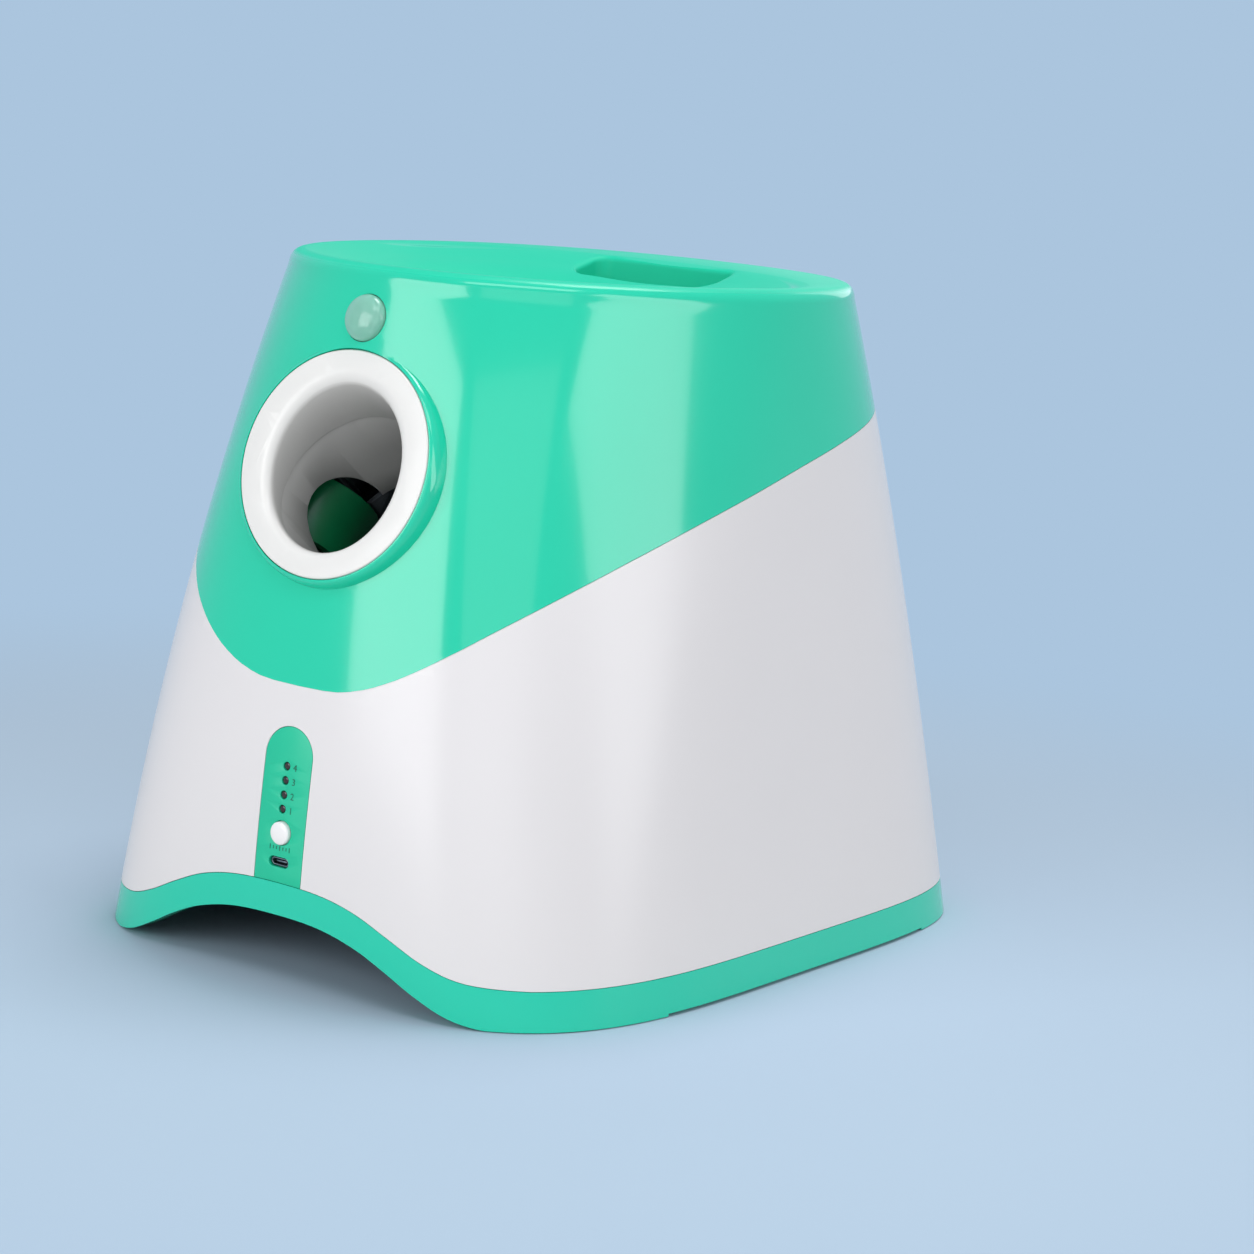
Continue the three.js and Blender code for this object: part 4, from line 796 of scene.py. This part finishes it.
pads = {"inset": 1.7, "inner": 7, "low": -0.5, "high": 3, "sectorLevels": (-1, 4),
        "front": ((110.7, 160), (103.7, 200)), "rear": ((107.7, 160), (123.7, 205))}

baseBand = copyOf(outer, "baseBand")
cut(baseBand, innerForm("bandInside", band["thickness"], low=-4))
both(baseBand, underEdge(0, band["front"]))
tongue = innerForm("tongue", band["tongueInset"], low=-3)
cut(tongue, innerForm("tongueInside", band["thickness"], low=-4))
join(baseBand, both(tongue, slab(band["tongueFrom"], strip["tongueTop"])))
bandEnvelope = innerForm("bandEnvelope", band["tongueInset"], low=-3)
for x, y in housing["posts"]:
    low, high, half = band["earFrom"], band["earTo"], band["earHalf"]
    ear = join(rod((x, y, low), (x, y, high), band["earRadius"], 36),
               sideBlock(math.copysign(1, x), abs(x), band["earReach"], y - half, y + half, low, high))
    join(baseBand, insideOf(ear, bandEnvelope))
drop(bandEnvelope)
half, under = band["archHalf"], band["under"]
low, high = band["screwLevels"]
arch = mirroredLine(band["arch"], 64) + [(half, under), (-half, under)]
cut(baseBand, prism("arch", arch, "Y", -beyond["y"], band["front"]),
    block(-beyond["x"], beyond["x"], *band["sideRelief"], under, band["relief"]),
    block(*band["rearRelief"], beyond["y"], under, band["relief"]), slab(under, band["rest"]),
    *[rod((x, y, low), (x, y, high), band["screwHole"], 24) for x, y in housing["posts"]])
padRing = cut(innerForm("padOut", pads["inset"], low=-1), innerForm("padIn", pads["inner"], low=-2))
both(padRing, slab(pads["low"], pads["high"]))
for sx, sy in [(1, -1), (-1, -1), (1, 1), (-1, 1)]:
    (x0, x1), (y0, y1) = pads["front" if sy < 0 else "rear"]
    sector = sideBlock(sx, x0, x1, *sorted((sy * y0, sy * y1)), *pads["sectorLevels"])
    cut(baseBand, both(copyOf(padRing, "padRoom"), sector))
drop(padRing)
finished(smoothed(baseBand), "BaseBand", "glossAbsBand", "rim_green", "case", "base_rim")
drop(outer, inner, midWall)
print("base band made:", len(baseBand.data.polygons), "faces")


def lipRing(depth, grow):
    # the slanting tube's outline in a plane level with the flange, at a depth behind its face
    lean = barrelTilt - flangeTilt
    across, tall = nozzle["bore"] + grow, (nozzle["bore"] + grow) / math.cos(lean)
    slip = -depth * math.tan(lean)
    turns = [2 * math.pi * i / nozzle["points"] for i in range(nozzle["points"])]
    return [(across * math.cos(t), slip + tall * math.sin(t), -depth) for t in turns]


nozzleRing = disc("nozzleRing", nozzle["face"], 128, flangePlace)
spigot = rod((0, tubeStart, 0), (0, nozzle["spigot"] - nozzle["depth"], 0),
             nozzle["bore"] + nozzle["tubeWall"], 96, unitPlace)
join(nozzleRing, both(spigot, disc("spigotKeep", nozzle["keep"], 48, flangePlace)))
quarter = [math.pi / 2 * k / 12 for k in range(13)]
lipRings = [lipRing(-nozzle["before"], nozzle["lip"] + nozzle["before"])]
lipRings += [lipRing(nozzle["lip"] * (1 - math.cos(a)), nozzle["lip"] * (1 - math.sin(a))) for a in quarter]
lipRings += [lipRing(nozzle["boreDepth"], 0)]
cut(nozzleRing, ringStack("bore", lipRings[::-1], flangePlace))
finished(smoothed(nozzleRing), "NozzleRing", "satinAbsNozzle", "nozzle_white", "case", "nozzle_ring")

dome = [(sensor["radius"] * math.cos(a), sensor["rise"] * math.sin(a)) for a in quarter]
hollowDome = [(r * sensor["hollowAcross"], h * sensor["hollowTall"] - sensor["hollowDrop"]) for r, h in dome]
sensorLens = disc("sensorLens", sensor["foot"] + dome, 64, sensorPlace)
cut(sensorLens, disc("lensHollow", sensor["hollow"] + hollowDome, 48, sensorPlace))
finished(smoothed(sensorLens, 40), "SensorLens", "milkyLens", "lens_milky", "case", "sensor_lens")
print("nozzle ring and lens made")

insides = [
    ("launch_barrel", "LaunchBarrel", "nylonBarrel", "barrel_white", "case", 0.06),
    ("ball_chute", "BallChute", "nylonChute", "chute_grey", "case", 0.3),
    ("base_plate", "BasePlate", "pebbledBlackPlate", "plate_black", "case", 0.3),
    ("launcher_stand", "LauncherStand", "zincSheet", "sheet_steel", "case", 0.25),
    ("feed_gate", "FeedGate", "acetalGate", "gate_amber", "feed_gate", 0.5),
    ("gate_servo", "GateServo", "tintedServoCase", "servo_blue", "case", 0.35),
    ("ball_switch", "BallSwitch", "phenolicSwitch", "switch_black", "case", 0.25),
    ("ball_switch_lever", "BallSwitchLever", "groundSteel", "shaft_steel", "ball_switch_lever", 0.1),
    ("sensor_holder", "SensorHolder", "mattBlackAbs", "holder_black", "case", 0.2),
    ("sensor_board", "SensorBoard", "solderMaskBoard", "board_green", "case", 0.1),
    ("control_board", "ControlBoard", "solderMaskBoard", "board_green", "case", 0.12),
    ("main_board", "MainBoard", "solderMaskBoard", "board_green", "case", 0.15),
    ("charging_port", "ChargingPort", "tinnedSocket", "port_steel", "case", 0.1),
    ("battery_pack", "BatteryPack", "shrinkWrapBlue", "battery_blue", "case", 0.6),
    ("speaker", "Speaker", "paperConeBlack", "speaker_black", "case", 0.3),
]
screw = "nickelScrew", "screw_steel", "case"
for hand in ("left", "right"):
    side, wheel = hand.capitalize(), hand + "_flywheel"
    insides += [
        (hand + "_flywheel_tyre", side + "FlywheelTyre", "castTyreGreen", "tyre_green", wheel, 0.6),
        (hand + "_flywheel_hub", side + "FlywheelHub", "acetalHub", "hub_white", wheel, 0.3),
        (hand + "_motor_shaft", side + "MotorShaft", "groundSteel", "shaft_steel", wheel, 0.3),
        (hand + "_motor", side + "Motor", "zincCan", "motor_steel", "case", 0.35),
        (hand + "_motor_plate", side + "MotorPlate", "zincSheet", "sheet_steel", "case", 0.25),
        (hand + "_plate_screw_1", side + "PlateScrew1", *screw, 0.2),
        (hand + "_plate_screw_2", side + "PlateScrew2", *screw, 0.2),
        ("chute_screw_" + hand, "ChuteScrew" + side, *screw, 0.2),
    ]
for k in ("1", "2"):
    insides += [("stand_screw_" + k, "StandScrew" + k, *screw, 0.2),
                ("servo_screw_" + k, "ServoScrew" + k, *screw, 0.12)]
for end in ("front", "rear"):
    for hand in ("left", "right"):
        side, place = hand.capitalize(), end.capitalize()
        insides += [
            ("case_screw_%s_%s" % (end, hand), "CaseScrew" + place + side, *screw, 0.25),
            ("rubber_foot_%s_%s" % (hand, end), "RubberFoot" + side + place,
             "mouldedRubber", "foot_rubber", "case", 0.4),
        ]

wheelOpening = {"radius": 37, "off": 56, "from": 25, "to": 37.5, "half": 60}
mending = {"weld": 0.00001, "flatAngle": 1, "smoothAngle": 34}


def wheelWindow(side):
    # a round window in the tube's wall, so that the wheel shows in a smooth frame
    radius, half = wheelOpening["radius"], wheelOpening["half"]
    profile = [(radius * math.sin(a), -radius * math.cos(a)) for a in [math.pi * k / 24 for k in range(25)]]
    sphere = disc("window", profile, 64, unitPlace @ Matrix.Translation((side * wheelOpening["off"], 0, 0)))
    return both(sphere, sideBlock(side, wheelOpening["from"], wheelOpening["to"], -half, half, -half, half,
                                  unitPlace))


for nodeName, name, material, slotName, body, edge in insides:
    piece = copyOf(nodes[nodeName], name)
    selectOnly(piece)
    bpy.ops.object.mode_set(mode="EDIT")
    bpy.ops.mesh.select_all(action="SELECT")
    bpy.ops.mesh.remove_doubles(threshold=mending["weld"])
    bpy.ops.mesh.dissolve_limited(angle_limit=math.radians(mending["flatAngle"]))
    bpy.ops.object.mode_set(mode="OBJECT")
    if name == "LaunchBarrel":
        # reamed a little wider than the nozzle's tube, so that the edge between them doesn't catch the light
        cut(piece, wheelWindow(-1), wheelWindow(1),
            *[rod((0, start, 0), (0, end, 0), nozzle["bore"] + wider, 96, unitPlace)
              for start, end, wider in nozzle["reamed"]])
    softEdges(piece, edge)
    finished(smoothed(piece, mending["smoothAngle"]), name, material, slotName, body, nodeName)
print("inside pieces made:", len(insides))

stage = {"paper": "#b1c5d8", "bounce": "#cfcfd0", "backdrop": "#abc5de", "clearOf": 0.34, "evenFrom": 0.85,
         "floorSize": 40, "ambient": "#f3f4f7", "ambientStrength": 0.4}


def seenDirectly(tree):
    # 1 for what the camera, a gloss or a clear piece sees, 0 for the light that falls on the object
    rays = addNode(tree, "ShaderNodeLightPath")
    gloss = addNode(tree, "ShaderNodeMath", settings={"operation": "MAXIMUM"},
                    links={0: rays.outputs["Is Camera Ray"], 1: rays.outputs["Is Glossy Ray"]})
    return addNode(tree, "ShaderNodeMath", settings={"operation": "MAXIMUM"},
                   links={0: gloss.outputs[0], 1: rays.outputs["Is Transmission Ray"]})


def paperFloor():
    # matt backdrop paper: it takes the shadow near the object and runs out into one even tone
    material = bpy.data.materials.new("paperFloor")
    material.use_nodes = True
    tree = material.node_tree
    tree.nodes.clear()
    where = addNode(tree, "ShaderNodeTexCoord")
    reach = addNode(tree, "ShaderNodeVectorMath", settings={"operation": "LENGTH"},
                    links={0: where.outputs["Object"]})
    fade = addNode(tree, "ShaderNodeMapRange", settings={"interpolation_type": "SMOOTHSTEP"},
                   values={"From Min": stage["clearOf"], "From Max": stage["evenFrom"]},
                   links={"Value": reach.outputs["Value"]})
    direct = seenDirectly(tree)
    even = addNode(tree, "ShaderNodeMath", settings={"operation": "MULTIPLY"},
                   links={0: fade.outputs["Result"], 1: direct.outputs[0]})
    tint = addNode(tree, "ShaderNodeMix", settings={"data_type": "RGBA"},
                   values={6: toLinear(stage["bounce"]), 7: toLinear(stage["paper"])},
                   links={"Factor": direct.outputs[0]})
    matt = addNode(tree, "ShaderNodeBsdfDiffuse", links={"Color": tint.outputs[2]})
    far = addNode(tree, "ShaderNodeEmission", values={"Color": toLinear(stage["backdrop"]), "Strength": 1})
    blend = addNode(tree, "ShaderNodeMixShader",
                    links={0: even.outputs[0], 1: matt.outputs["BSDF"], 2: far.outputs["Emission"]})
    addNode(tree, "ShaderNodeOutputMaterial", links={"Surface": blend.outputs["Shader"]})
    return material


bpy.ops.object.select_all(action="DESELECT")
bpy.ops.mesh.primitive_plane_add(size=stage["floorSize"], location=(0, 0, 0))
floor = bpy.context.object
floor.name = "Floor"
floor.data.materials.append(paperFloor())

world = bpy.data.worlds.new("studio")
bpy.context.scene.world = world
world.use_nodes = True
tree = world.node_tree
tree.nodes.clear()
ambient = addNode(tree, "ShaderNodeBackground",
                  values={"Color": toLinear(stage["ambient"]), "Strength": stage["ambientStrength"]})
seen = addNode(tree, "ShaderNodeBackground", values={"Color": toLinear(stage["backdrop"]), "Strength": 1})
pick = addNode(tree, "ShaderNodeMixShader",
               links={0: seenDirectly(tree).outputs[0], 1: ambient.outputs[0], 2: seen.outputs[0]})
addNode(tree, "ShaderNodeOutputWorld", links={"Surface": pick.outputs[0]})

lamps = {
    # name: direction round the object, height angle, aimed at, distance, width, height, roll, watts
    "frontBox": (-11.5, 13, (0.03, -0.16, 0.2), 1.5, 1.06, 1.04, -6, 11.5),
    "sideBox": (93.5, 12.5, (0.11, -0.1, 0.24), 1.4, 0.47, 1.7, 49.5, 7),
    "topBox": (165, 75, (0, 0, 0.3), 1.9, 0.8, 0.8, 0, 19),
    "rimBox": (32, 52, (0, 0, 0.25), 1.9, 1.3, 0.5, 0, 6),
    "backBox": (192, 22, (0, 0, 0.2), 2.2, 1.5, 1.1, 0, 5),
    "midBox": (37, 12, (0.05, -0.12, 0.22), 1.6, 1.1, 1, 0, 2.4),
}
for name, (around, height, target, distance, wide, tall, roll, watts) in lamps.items():
    a, b = math.radians(around), math.radians(height)
    toward = Vector((math.sin(a) * math.cos(b), -math.cos(a) * math.cos(b), math.sin(b)))
    light = bpy.data.lights.new(name, "AREA")
    light.shape = "RECTANGLE"
    light.size, light.size_y = wide, tall
    light.energy = watts
    lamp = bpy.data.objects.new(name, light)
    aimed = toward.to_track_quat("Z", "Y").to_matrix()
    lamp.rotation_euler = (aimed @ Matrix.Rotation(math.radians(roll), 3, "Z")).to_euler()
    lamp.location = Vector(target) + toward * distance
    lamp.visible_camera = False
    bpy.context.scene.collection.objects.link(lamp)

view = {"place": (0.8814, -1.2184, 0.4018), "forward": (-0.5598, 0.8108, -0.1712),
        "up": (-0.1598, 0.0972, 0.9824), "lens": 92.55, "sensor": 36}
cameraData = bpy.data.cameras.new("photoCamera")
cameraData.sensor_fit = "HORIZONTAL"
cameraData.sensor_width = view["sensor"]
cameraData.lens = view["lens"]
camera = bpy.data.objects.new("photoCamera", cameraData)
forward = Vector(view["forward"]).normalized()
up = (Vector(view["up"]) - forward * forward.dot(Vector(view["up"]))).normalized()
right = forward.cross(up)
camera.matrix_world = Matrix.Translation(view["place"]) @ Matrix((right, up, -forward)).transposed().to_4x4()
bpy.context.scene.collection.objects.link(camera)
bpy.context.scene.camera = camera
bpy.context.scene.view_settings.view_transform = "Standard"
